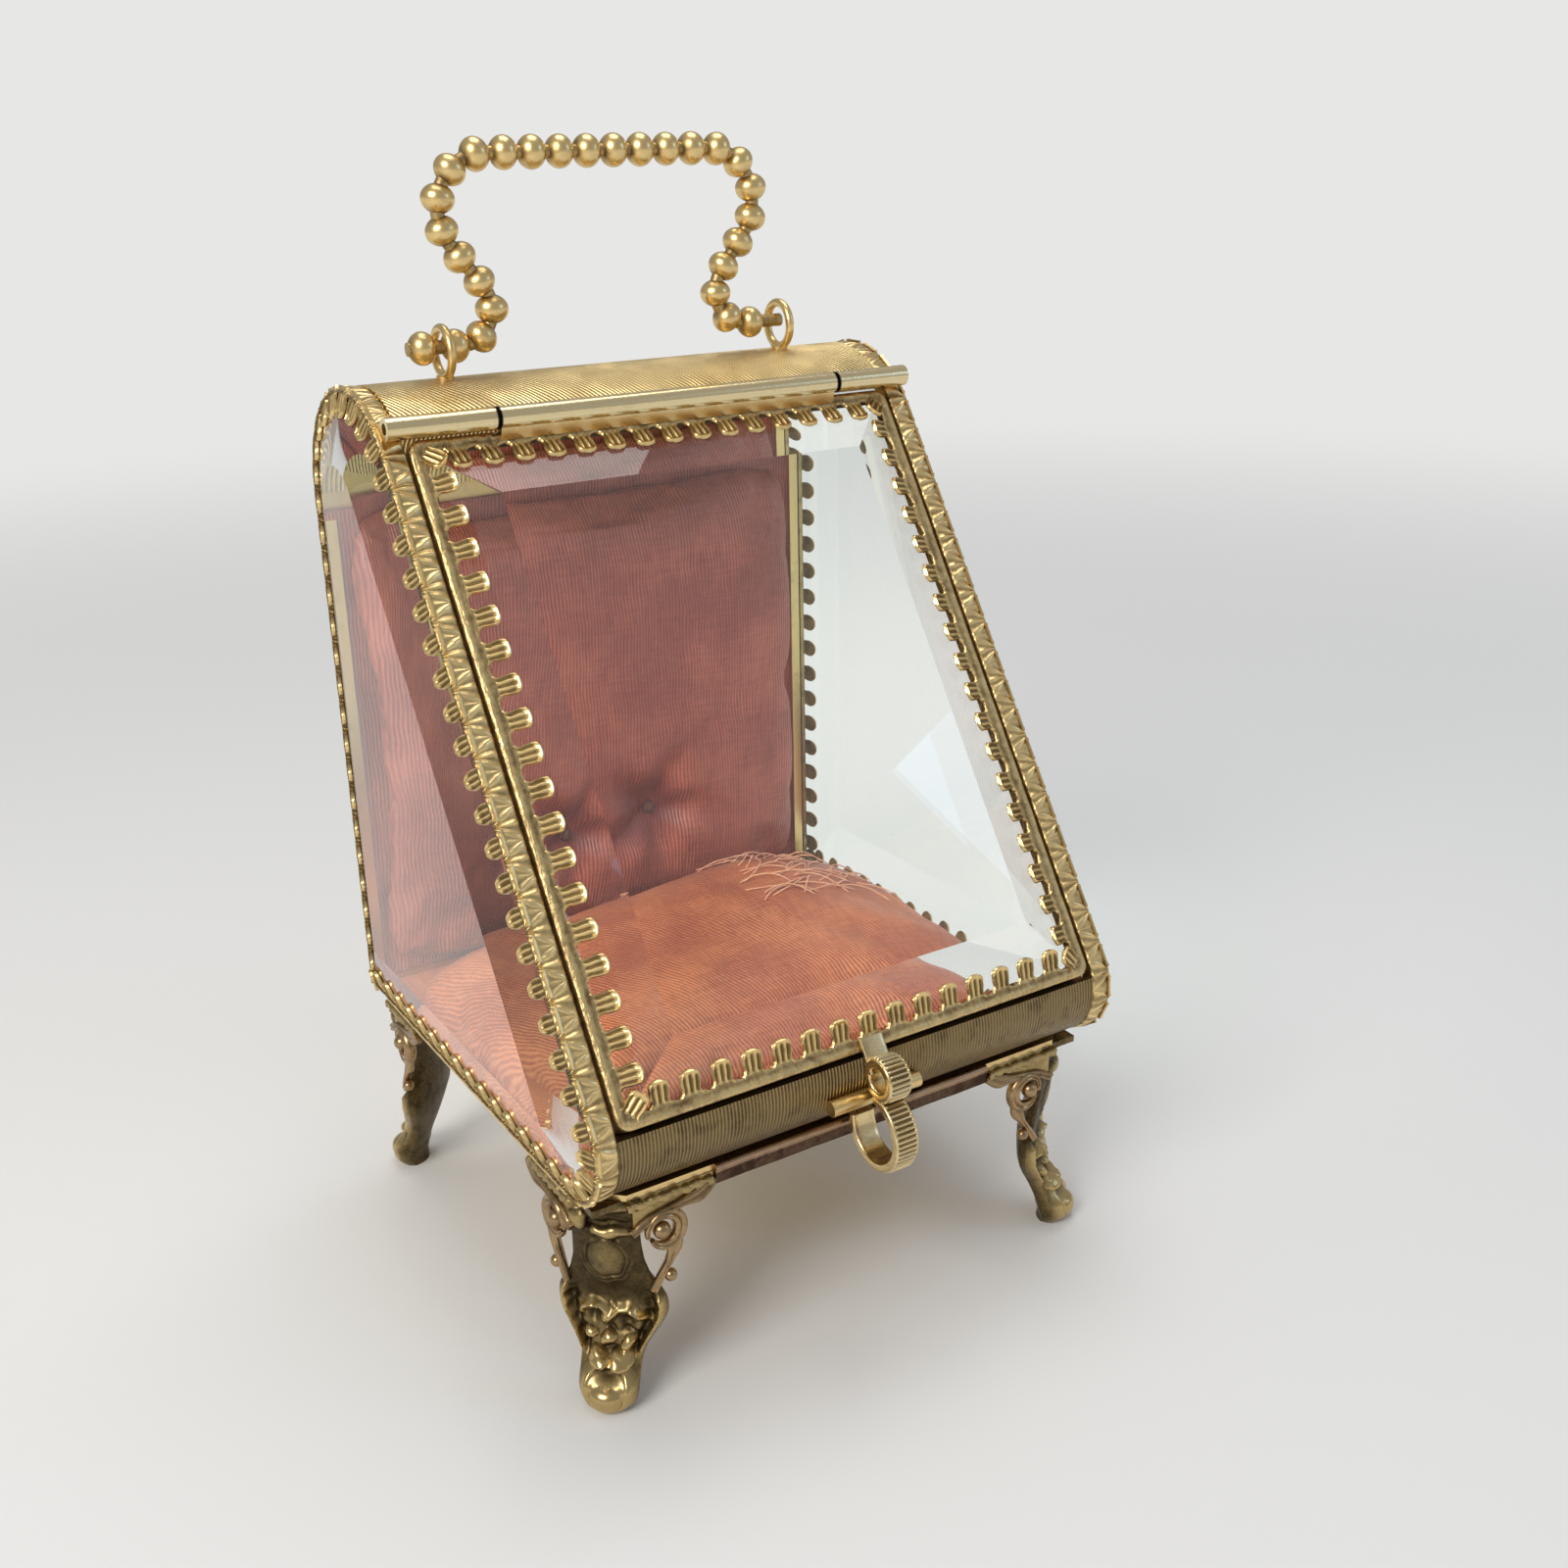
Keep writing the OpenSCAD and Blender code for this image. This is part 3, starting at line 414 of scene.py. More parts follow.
def case_line(s):
    """Points and outward angles along the case's section, s millimetres from its lower back
    corner: straight up the back, an arc, straight down the slope, an arc, straight along the base."""
    s = np.asarray(s, float) % AROUND
    a1 = (s - lengths[0]) / CROWN_R
    a2 = SLOPE_AT + (s - lengths[2]) / LIP_R
    on = [s < lengths[0], s < lengths[1], s < lengths[2], s < lengths[3]]
    y = np.select(on, [BACK + 0 * s, crown[0] + CROWN_R * np.cos(a1),
                       slope_top[0] - (s - lengths[1]) * uphill[0], lip[0] + LIP_R * np.cos(a2)],
                  lip[0] + s - lengths[3])
    z = np.select(on, [LIFT + s, crown[1] + CROWN_R * np.sin(a1),
                       slope_top[1] - (s - lengths[1]) * uphill[1], lip[1] + LIP_R * np.sin(a2)],
                  LIFT + 0 * s)
    angle = np.select(on, [0 * s, a1, SLOPE_AT + 0 * s, a2], 1.5 * math.pi + 0 * s)
    return np.stack([y, z], -1), angle


def stamped(place):
    """The die-stamped band: ribs fan out over the band from the notch between two claws, and
    shallower ones from each claw's root. near is the distance to the notch and reach the
    distance in from the claws, both kept at the band's points in millimetres."""
    near = place.node("ShaderNodeAttribute", {"attribute_name": "near"}, {}, 2)
    reach = place.node("ShaderNodeAttribute", {"attribute_name": "reach"}, {}, 2)
    turned = near.math("ARCTAN2", near, reach + 0.45)
    root = claw_step / 2 - near
    opposite = root.math("ARCTAN2", root, BAND_REACH - reach)
    fan = (turned * 10.5 + place.noise(0.7, 1) * 2.0).cosine()
    lines = (opposite * 11.0 + place.noise(0.7, 1) * 2.0).cosine() * 0.6
    at_notch = (near - reach * 0.35).between(1.5, 0.5)
    return fan * at_notch + lines * (1 - at_notch)


stamped_gilt = gilding("gilt_stamped", (0.86, 0.64, 0.30), DULL_GILT, stamped, 0.1, tarnish=0.2)


def round_section(x, inset, line, angle):
    """Places of a cross-section carried round the case: x and inset from the outline."""
    y = line[:, None, 0] - inset * np.cos(angle)[:, None]
    z = line[:, None, 1] - inset * np.sin(angle)[:, None]
    return np.stack(np.broadcast_arrays(x, y, z), -1)


def claw_leaves(root, across, along, out, length, width, square, thick):
    """Bent sheet claws, one per row of root: a leaf that spreads into its root, narrows,
    swells and closes at its tip, with a raised rim and three grooves along it. square is the
    share of the length at which the tip starts to close."""
    t = np.concatenate([np.linspace(-0.12, 0.9, 17), [0.95, 0.985, 1.0]])[:, None]
    u = np.concatenate([np.linspace(-1, 1, 21), np.linspace(0.7, -0.7, 4)])[None, :]
    top = np.concatenate([np.ones(21), np.zeros(4)])[None, :]
    tip = np.clip((t - square) / (1 - square), 0, 1)
    waist = 0.1 * np.exp(-((t - 0.25) / 0.13) ** 2)
    flare = 0.3 * np.exp(-(np.maximum(t, 0) / 0.07) ** 2)
    half = width / 2 * (1 - waist + flare) * np.maximum((1 - tip ** 2) ** 0.5, 0.12)
    rim = np.exp(-((np.abs(u) - 0.84) / 0.1) ** 2) + np.exp(-((t - 0.93) / 0.05) ** 2)
    furrow = (0.5 + 0.5 * np.cos(u * 3.05 * math.pi)) ** 0.8 * (np.abs(u) < 0.98) \
        * np.clip((t - 0.02) / 0.15, 0, 1) * np.clip((0.86 - 0.12 * u ** 2 - t) / 0.1, 0, 1)
    arch = 0.14 * np.sin(math.pi * np.clip(t, 0, 1))
    high = thick * (0.66 + 0.34 * np.clip(rim, 0, 1) - 0.5 * furrow + arch) \
        * np.sqrt(np.maximum(1 - np.abs(u) ** 12, 0.0)) * np.clip((1.012 - t) / 0.04, 0.25, 1)
    h = np.maximum(high, 0.04) * top
    hollow = np.clip(furrow * 1.25 + (np.abs(u) > 0.97) * 0.5, 0, 1) * top + (1 - top) * 0.7
    spread = (u * half)[None, ..., None] * across[:, None, None, :]
    run = (t * length * np.ones_like(u))[None, ..., None] * along[:, None, None, :]
    lift = h[None, ..., None] * out[:, None, None, :]
    return root[:, None, None, :] + spread + run + lift, hollow


def side_frame(side, name):
    """One side's band, ledge and claws, carried round the case's section."""
    per = 20
    s = np.arange(CLAWS * per) * AROUND / (CLAWS * per)
    line, angle = case_line(s)
    # The band's section: a convex stamped face from its outer edge in, then its inner side.
    c = np.linspace(1, -1, 15)
    near = np.abs((s / claw_step) % 1 - 0.5)[:, None] * claw_step
    bulge = 0.32 * (1 - c[None, :] ** 2) ** 0.6
    notch = 0.16 * np.exp(-(near / 0.75) ** 2) * (c[None, :] > 0.9)
    fan = np.cos(np.arctan2(near, (1 - c[None, :]) * BAND_W / 2 + 0.45) * 10.5) \
        * np.clip(1 - near / 1.4, 0, 1) * (np.abs(c[None, :]) < 0.9)
    inset = np.concatenate([0.32 - bulge + notch - 0.06 * fan, np.full((len(s), 4), 0.58)], 1)
    x = CASE_W / 2 - BAND_W * np.concatenate([(1 - c) / 2, [0.98, 0.7, 0.3, 0.02]])
    rings = round_section(side * x[None, :], inset, line, angle)
    hollow = np.concatenate([0.05 + 0.5 * (np.abs(c) > 0.9), np.full(4, 0.8)])
    band = skin(name + "_band", rings, loop=True, sharp=80, hollow=hollow, near=near,
                reach=np.clip(CASE_W / 2 - x, 0, BAND_W))
    dress(band, stamped_gilt, "gilt", "casket", "claw_frame_" + name)
    # Ledge behind the pane.
    x = side * (CASE_W / 2 - BAND_W + np.array([0.0, SHEET, SHEET, 0.0]))
    inset = np.array([0.55, 0.55, 2.2, 2.2])[None, :]
    dress(skin(name + "_ledge", round_section(x[None, :], inset + 0 * s[:, None], line, angle),
               loop=True, hollow=0.5), gilt, "gilt", "casket")
    # Claws.
    line, angle = case_line(np.arange(CLAWS) * claw_step)
    angle = np.where(np.arange(CLAWS) == 0, math.radians(315), angle)
    n = np.stack([0 * angle, np.cos(angle), np.sin(angle)], -1)
    across = np.stack([0 * angle, -np.sin(angle), np.cos(angle)], -1)
    along = -n * math.cos(SIDE_TILT) + np.array([side * math.sin(SIDE_TILT), 0, 0])
    out = n * math.sin(SIDE_TILT) + np.array([side * math.cos(SIDE_TILT), 0, 0])
    root = np.concatenate([np.full((CLAWS, 1), side * CLAW_X), line], -1) - 0.3 * n
    leaves, hollow = claw_leaves(root, across, along, out, length=3.4, width=2.5, square=0.5,
                                 thick=0.52)
    dress(skin(name + "_claws", leaves, sharp=60, hollow=hollow), gilt, "gilt", "casket")


side_frame(-1, "left")
side_frame(1, "right")

# ---- Panes ----
# Thick polished plates, ground to a wide bevel round a raised middle and held on their
# frames' ledges by the claws. The door's pane is a carried-over solid of the same glass.


def clear_glass(name, tint):
    """Clear glass. It lets the lamps' light through to the lining, and a ray that has been
    thrown to and fro inside the plate leaves it dimmed."""
    made, _, surface = new_finish(name, Roughness=0.0, IOR=1.5, Transmission_Weight=1.0)
    surface.inputs["Base Color"].default_value = (*tint, 1)
    path = made.node_tree.nodes.new("ShaderNodeLightPath")
    shadow, thrown = (Wire(made.node_tree, path.outputs[key]) for key in ("Is Shadow Ray", "Glossy Depth"))
    through = made.node_tree.nodes.new("ShaderNodeBsdfTransparent")
    through.inputs["Color"].default_value = (0.90, 0.94, 0.925, 1)
    clear = shadow.math("MAXIMUM", shadow, thrown.math("GREATER_THAN", thrown, 1.5))
    shared(made.node_tree, clear, surface, through)
    return made


pane_glass = clear_glass("pane_glass", (0.95, 0.98, 0.97))


def side_pane(side, name):
    """A side's pane: the case's outline drawn in a little for the inner face and the edge, and
    by the bevel's width for the raised middle of the outer face."""
    points = 540
    line, angle = case_line(np.arange(points) * AROUND / points)

    def drawn_in(d):
        """The outline drawn in by d, its corners kept sharp where the arc is used up."""
        p = line - d * np.stack([np.cos(angle), np.sin(angle)], -1)
        p[:, 0] = np.minimum(p[:, 0], BACK - d)
        p[:, 1] = np.maximum(p[:, 1], LIFT + d)
        off = (p - slope_top) @ outward + d
        p = p - np.maximum(off, 0)[:, None] * outward
        low = np.maximum(LIFT + d - p[:, 1], 0) / uphill[1]
        return p + low[:, None] * uphill

    rings = []
    for x, d in ((35.1, 0.6), (36.9, 0.6), (39.35, 9.1)):
        p = drawn_in(d)
        rings.append(np.concatenate([np.full((points, 1), side * x), p], -1))
    pane = skin("pane_" + name, np.stack(rings), sharp=8)
    dress(pane, pane_glass, "glass", "casket", "side_glass_" + name)


side_pane(-1, "left")
side_pane(1, "right")
refinish("door_glass", pane_glass)

# ---- Door frame ----
# A channel of folded sheet round the door's pane: a plain rim in front, a lip behind, and
# squarer claws than the sides' bent down over the bevel.
DOOR_W, DOOR_TOP, DOOR_FOOT, DOOR_DEEP, RIM = 68.1, 1.90124, -81.3034, 3.8, 1.9
DOOR_CORNER, CLAW_PITCH, DOOR_TILT = 1.6, 4.1, math.atan(2.6 / 6.65)


def on_slope(p):
    """Places in the door's frame (across, up the slope, out of it) turned into the box's."""
    y = slope_top[0] + p[..., 1] * uphill[0] + p[..., 2] * outward[0]
    z = slope_top[1] + p[..., 1] * uphill[1] + p[..., 2] * outward[1]
    return np.stack([p[..., 0], y, z], -1)


def door_line(d):
    """Round-cornered outline of the door drawn in by d: an arc and a straight to each quarter."""
    r = max(DOOR_CORNER - d, 0.15)
    x, y0, y1 = DOOR_W / 2 - d - r, DOOR_FOOT + d + r, DOOR_TOP - d - r
    a = np.linspace(0, math.pi / 2, 12)
    parts = []
    for k, (cx, cy) in enumerate(((x, y1), (-x, y1), (-x, y0), (x, y0))):
        turned = a + k * math.pi / 2
        parts.append(np.stack([cx + r * np.cos(turned), cy + r * np.sin(turned)], -1))
        nx, ny = ((-x, y1 + r), (-x - r, y0), (x, y0 - r), (x + r, y1))[k]
        end = parts[-1][-1]
        t = np.arange(1, 91)[:, None] / 91
        parts.append(end + (np.array([nx, ny]) - end) * t)
    return np.concatenate(parts)


inner = RIM - 0.25
wide, tall = DOOR_W - 2 * inner, DOOR_TOP - DOOR_FOOT - 2 * inner
n_wide, n_tall = round(wide / CLAW_PITCH), round(tall / CLAW_PITCH)
foot_y, head_y = DOOR_FOOT + inner, DOOR_TOP - inner
outline = door_line(0)
centre = np.array([0, (DOOR_FOOT + DOOR_TOP) / 2])
crosswise = np.abs(outline[:, 0]) < DOOR_W / 2 - 0.01
beat = np.where(crosswise, (outline[:, 0] + wide / 2) / wide * n_wide,
                (outline[:, 1] - foot_y) / tall * n_tall)
straight = np.where(crosswise, np.abs(outline[:, 0]) < wide / 2,
                    np.abs(outline[:, 1] - centre[1]) < tall / 2)
inward = np.stack([~crosswise, crosswise], -1) * 1.0
notch = (0.5 - 0.5 * np.cos(2 * math.pi * beat)) ** 2 * straight
lift = 0.12 * np.exp(-((notch - 0.9) / 0.25) ** 2)
# The channel's section, as distance in from the door's edge and height over its front.
section = [(0.0, -DOOR_DEEP), (0.0, -0.32), (0.08, -0.12), (0.3, 0.02), (0.62, 0.06), (0.95, 0.0),
           (1.25, -0.04), (1.6, -0.04), (1.85, -0.1), (RIM, -0.3), (RIM, -0.5), (SHEET, -0.5),
           (SHEET, -3.35), (1.6, -3.35), (1.6, -DOOR_DEEP)]
rings = []
for d, h in section:
    flat = door_line(d)
    back = 0.36 * notch * np.clip((d - 0.9) / 0.9, 0, 1) * (-0.6 < h)
    flat = flat + np.sign(flat - centre) * inward * back[:, None]
    dent = 0.05 * np.sin(flat[:, 0] * 0.9 + flat[:, 1] * 0.37) * np.sin(flat[:, 1] * 0.53 + 1)
    high = np.where(h > -0.2, h + dent - 0.05 + lift * (d > 1.5), h)
    rings.append(np.concatenate([flat, high[:, None]], -1))
hollow = [0.6, 0.4, 0.15, 0.0, 0.0, 0.35, 0.5, 0.3, 0.1, 0.5, 0.8, 0.8, 0.8, 0.8, 0.8]
rim = skin("door_channel", on_slope(np.stack(rings, 1)), loop=True, sharp=50, hollow=hollow)


def hammered(place):
    """Small dents and scratches of a folded, much-handled edge."""
    return (place.noise(0.9, 4) - 0.5) * 2.6 + (place.noise(0.6, 2, (6, 1, 1)) - 0.5) * 1.2


rim_gilt = gilding("gilt_rim", (0.76, 0.56, 0.26), (0.19, 0.12, 0.05), hammered, 0.1, polish=0.32)
dress(rim, rim_gilt, "gilt", "door", "door_frame")
# The claws' roots, each with the way it points in degrees: foot, head, left, right, corners.
i, j = np.arange(1, n_wide), np.arange(1, n_tall)
px = np.concatenate([-wide / 2 + i * wide / n_wide, -wide / 2 + i * wide / n_wide, -wide / 2 + 0 * j,
                     wide / 2 + 0 * j, [-wide / 2, wide / 2, wide / 2, -wide / 2]])
py = np.concatenate([foot_y + 0 * i, head_y + 0 * i, foot_y + j * tall / n_tall,
                     foot_y + j * tall / n_tall, [foot_y, foot_y, head_y, head_y]])
way = np.radians(np.concatenate([90 + 0 * i, -90 + 0 * i, 0 * j, 180 + 0 * j, [45, 135, 225, -45]]))
along = np.stack([np.cos(way), np.sin(way), 0 * way], -1)
across = np.stack([np.sin(way), -np.cos(way), 0 * way], -1)
out = np.array([0, 0, 1.0])
root = np.stack([px, py, np.full(len(px), -0.47)], -1)
leaves, hollow = claw_leaves(root, across, along * math.cos(DOOR_TILT) + out * math.sin(DOOR_TILT),
                             out * math.cos(DOOR_TILT) - along * math.sin(DOOR_TILT),
                             length=3.05, width=2.55, square=0.78, thick=0.52)


def darker_at_door_foot(place):
    """Darker patches between the claws at the door's foot, fading out between 38 and 42 mm up."""
    return (1 - place.axis(2).between(38.0, 42.0)) * place.noise(1.1, 3).between(0.35, 0.7) * 0.6


claw_gilt = gilding("gilt_claws", GILT, DULL_GILT, dark=darker_at_door_foot)
dress(skin("door_claws", on_slope(leaves), sharp=60, hollow=hollow), claw_gilt, "gilt", "door")

# ---- Hinge ----
# A length of drawn tube in three knuckles on a dark pin: pale gilt above, and a copper
# glow below painted in as a reflection, with painted shade where the knuckles meet.
GAP_LEFT, GAP_RIGHT = -22.9, 25.5


def below_hinge(place):
    """1 on the tube's underside, where a copper glow is painted in as a reflection."""
    return 1 - (place.axis(2) + place.noise(0.5, 2) * 1.2).between(110.2, 111.2)


def knuckle_gap_shade(place):
    """1 where two knuckles meet, for painted shade in the gap between them."""
    x = place.axis(0)
    left, right = (x - GAP_LEFT).absolute(), (x - GAP_RIGHT).absolute()
    return 1 - left.math("MINIMUM", left, right).between(0.24, 0.42)


# The tube's colour carries a painted copper reflection below and painted shade at the knuckles' gaps.
tube_gilt = gilding("gilt_tube", (0.86, 0.70, 0.40), (0.40, 0.27, 0.12), copper_glow=below_hinge,
                    dark=knuckle_gap_shade, polish=0.18)
for name in ("hinge_knuckle_left", "hinge_knuckle_right", "hinge_knuckle_door"):
    refinish(name, tube_gilt)
refinish("hinge_pin", gilding("dark_pin", (0.16, 0.11, 0.08), (0.04, 0.03, 0.02)))

# ---- Bail ----
# A wire strung with cast beads and bent to a handle: straight top, round shoulders, arms
# that lean in and curl out to bare ends through two rings on the crown.
PIVOT = np.array([BACK - 15.5, LIFT + CASE_H + 3.8])
SHIFT, TOP, HIGH, ROUND, CURL, TURN = -1.5, 15.5, 22.1, 6.5, 4.2, math.radians(128)
WIRE_R, RING_X, RING_WIRE = 0.85, 24.3, 0.55
BEADS, BEAD_STEP, BEAD = 26, 3.72, (2.15 * 0.86, 2.15)


def bail_line(s):
    """Places along the bail's middle line, s millimetres from its middle: a straight top, an
    arc down and in, a straight arm, and an arc back out to the pivot's line."""
    q = np.abs(s)
    b = TOP + ROUND * TURN
    e = np.array([TOP, HIGH - ROUND]) + ROUND * np.array([math.sin(TURN), math.cos(TURN)])
    way = np.array([math.cos(TURN), -math.sin(TURN)])
    drop = (e[1] - CURL * (1 - math.cos(TURN))) / math.sin(TURN)
    f = e + drop * way
    g = f + CURL * np.array([math.sin(TURN), math.cos(TURN)])
    c, d = b + drop, b + drop + CURL * TURN
    a1, a2 = (q - TOP) / ROUND, TURN - (q - c) / CURL
    on = [q <= TOP, q <= b, q <= c, q <= d]
    x = np.select(on, [q, TOP + ROUND * np.sin(a1), e[0] + (q - b) * way[0], g[0] - CURL * np.sin(a2)],
                  g[0] + q - d)
    z = np.select(on, [HIGH + 0 * q, HIGH - ROUND + ROUND * np.cos(a1), e[1] + (q - b) * way[1],
                       g[1] - CURL * np.cos(a2)], 0 * q)
    return np.stack([SHIFT + np.sign(s) * x, PIVOT[0] + 0 * q, PIVOT[1] + z], -1)


s = np.concatenate([np.linspace(-50.4, 0, 150), np.linspace(0, 51.3, 150)[1:]])
line = bail_line(s)
line[0, 0] = -RING_X - RING_WIRE - 2 * BEAD[0] - 0.3
run = np.gradient(line, axis=0)
run /= np.linalg.norm(run, axis=1)[:, None]
side = np.array([0, 1.0, 0])
lift = np.cross(run, side)
a = np.linspace(0, 2 * math.pi, 20, endpoint=False)
rings = line[:, None] + WIRE_R * (np.cos(a)[None, :, None] * lift[:, None]
                                  + np.sin(a)[None, :, None] * side)
dress(skin("bail_wire", rings, hollow=0.6), gilt, "gilt", "handle", "bail")
bead_s = (np.arange(BEADS) - (BEADS - 1) / 2) * BEAD_STEP
centre = np.concatenate([bail_line(bead_s), [[-RING_X - RING_WIRE - BEAD[0] - 0.25, *PIVOT]]])
step = bail_line(bead_s + 0.1) - bail_line(bead_s - 0.1)
step = np.concatenate([step / np.linalg.norm(step, axis=1)[:, None], [[1, 0, 0]]])
up_b = np.cross(step, side)
w = np.linspace(0.06, math.pi - 0.06, 21)
a = np.linspace(0, 2 * math.pi, 30, endpoint=False)
size = np.random.default_rng(4).uniform(0.94, 0.965, len(centre))[:, None, None, None]
around = np.cos(a)[None, None, :, None] * up_b[:, None, None] + np.sin(a)[None, None, :, None] * side
beads = centre[:, None, None] + size * (BEAD[0] * np.cos(w)[None, :, None, None] * step[:, None, None]
                                        + BEAD[1] * np.sin(w)[None, :, None, None] * around)
hollow = 0.9 * np.abs(np.cos(w))[None, :, None] ** 3
dress(skin("bail_beads", beads, hollow=hollow), gilt, "gilt", "handle")
refinish("handle_ring_left", gilt)
refinish("handle_ring_right", gilt)

# ---- Clasp ----
# Sprung strip soldered to the door's rim: a small eye, then a thumb loop that hooks round
# the catch bar. Its outside is rolled with fine cross-ribs between plain borders.
EYE_IN, EYE_OUT, LOOP_IN, LOOP_OUT = 1.5, 2.85, 3.9, 5.2
CLASP_X, STRIP_W, STRIP_RIB = -0.5, 3.3, 0.67


def toward(degrees):
    """A step of one millimetre at an angle in the box's section."""
    return np.array([math.cos(math.radians(degrees)), math.sin(math.radians(degrees))])


def squared(wave, power):
    """A wave from -1 to 1 pushed out towards its ends, which squares off a circle."""
    return np.sign(wave) * np.abs(wave) ** power


EYE = lip + (APRON_R + 0.35 + EYE_OUT) * toward(176.3)
LOOP = EYE + (EYE_OUT + LOOP_OUT - 0.58) * toward(-82.3)


def sprung_loop(name, centre, inner_r, outer_r, a0, a1, loop):
    """A strip bent round an axis along X: a rounded oblong section, its outside ribbed."""
    angle = np.linspace(a0, a1, 420 if outer_r > 4 else 240, endpoint=not loop)
    b = np.linspace(0, 2 * math.pi, 40, endpoint=False)
    flat, tall = squared(np.cos(b), 0.35), squared(np.sin(b), 0.35)
    middle, half = (inner_r + outer_r) / 2, (outer_r - inner_r) / 2
    wave = np.cos(angle * outer_r * 2 * math.pi / STRIP_RIB)[:, None]
    ribbed = (np.abs(flat) < 0.78)[None, :] * (tall > 0.5)[None, :]
    rib = (0.13 * np.clip(wave * 1.6, -1, 1) - 0.06) * ribbed
    radius = middle + half * tall[None, :] - 0.08 * (tall > 0.5)[None, :] + rib
    x = CLASP_X + STRIP_W / 2 * flat[None, :] + 0 * radius
    rings = np.stack([x, centre[0] + radius * np.cos(angle)[:, None],
                      centre[1] + radius * np.sin(angle)[:, None]], -1)
    return skin(name, rings, loop=loop, sharp=60, hollow=np.clip(0.15 - rib * 4.5, 0, 1))


clasp_gilt = gilding("gilt_clasp", (0.82, 0.64, 0.34), (0.2, 0.13, 0.06), polish=0.2)
dress(sprung_loop("clasp_eye", EYE, EYE_IN, EYE_OUT, 0, 2 * math.pi, True), clasp_gilt, "gilt",
      "door", "clasp")
dress(sprung_loop("clasp_thumb_loop", LOOP, LOOP_IN, LOOP_OUT, math.radians(92), math.radians(363),
                  False), clasp_gilt, "gilt", "door")
b = np.linspace(0, 2 * math.pi, 24, endpoint=False)
reach = np.linspace(-84.2, -79.85, 12)
tab = np.stack(np.broadcast_arrays(CLASP_X + STRIP_W / 2 * squared(np.cos(b), 0.4)[None, :],
                                   reach[:, None], 0.42 + 0.4 * squared(np.sin(b), 0.4)[None, :]), -1)
dress(skin("clasp_tab", on_slope(tab), hollow=0.2), clasp_gilt, "gilt", "door")
refinish("clasp_bar", gilt)

# ---- Feet ----
# Cast corner feet: a curved leg set across the corner with a dimpled toe, and on each side
# a moulded wing that ends in a leaf and carries a scroll and a bead. Screwed from below.
FOOT_X, FOOT_H = 37.3, 28.5
FOOT_Y = (RAIL_Y - 0.9, BACK + 0.7)
# Half widths of the leg and depths of its face behind the corner, at shares of its height.
leg_h = np.array([0, .02, .05, .11, .17, .22, .27, .33, .39, .44, .5, .55, .6, .68, .78, .9, 1])
leg_w = np.array([2.2, 2.9, 3.45, 3.8, 3.75, 3.8, 4.3, 5.4, 6.5, 6.9, 6.7, 5.9, 5.0, 4.4, 4.2, 4.3,
                  4.6])
back_h = np.array([0, .03, .11, .18, .25, .32, .39, .5, .6, .72, .85, 1])
back_d = np.array([3.1, 2.4, 2.5, 3.6, 4.8, 5.5, 6, 6.1, 5.6, 5.05, 4.6, 4.25])


def smooth_through(h, xs, ys, wide=25):
    """Values of a profile: straight between its points, then averaged over a window
    wide steps across, of 400."""
    fine = np.linspace(0, 1, 400)
    kernel = np.hanning(wide)
    raw = np.pad(np.interp(fine, xs, ys), wide // 2, mode="edge")
    return np.interp(h, fine, np.convolve(raw, kernel / kernel.sum(), "valid"))


def hill(x, z, cx, cz, rx, rz, high):
    """A round hill, or a hollow where high is below 0, about a point."""
    return high * np.exp(-((x - cx) / rx) ** 2 - ((z - cz) / rz) ** 2)


def knob(x, z, cx, cz, rx, rz, high):
    """Half a ball pressed out about a point."""
    return high * np.sqrt(np.clip(1 - ((x - cx) / rx) ** 2 - ((z - cz) / rz) ** 2, 0, 1))


def within(v, low, high, soft):
    """1 between low and high, falling to 0 over soft on either side."""
    return np.clip((v - low) / soft + 0.5, 0, 1) * np.clip((high - v) / soft + 0.5, 0, 1)


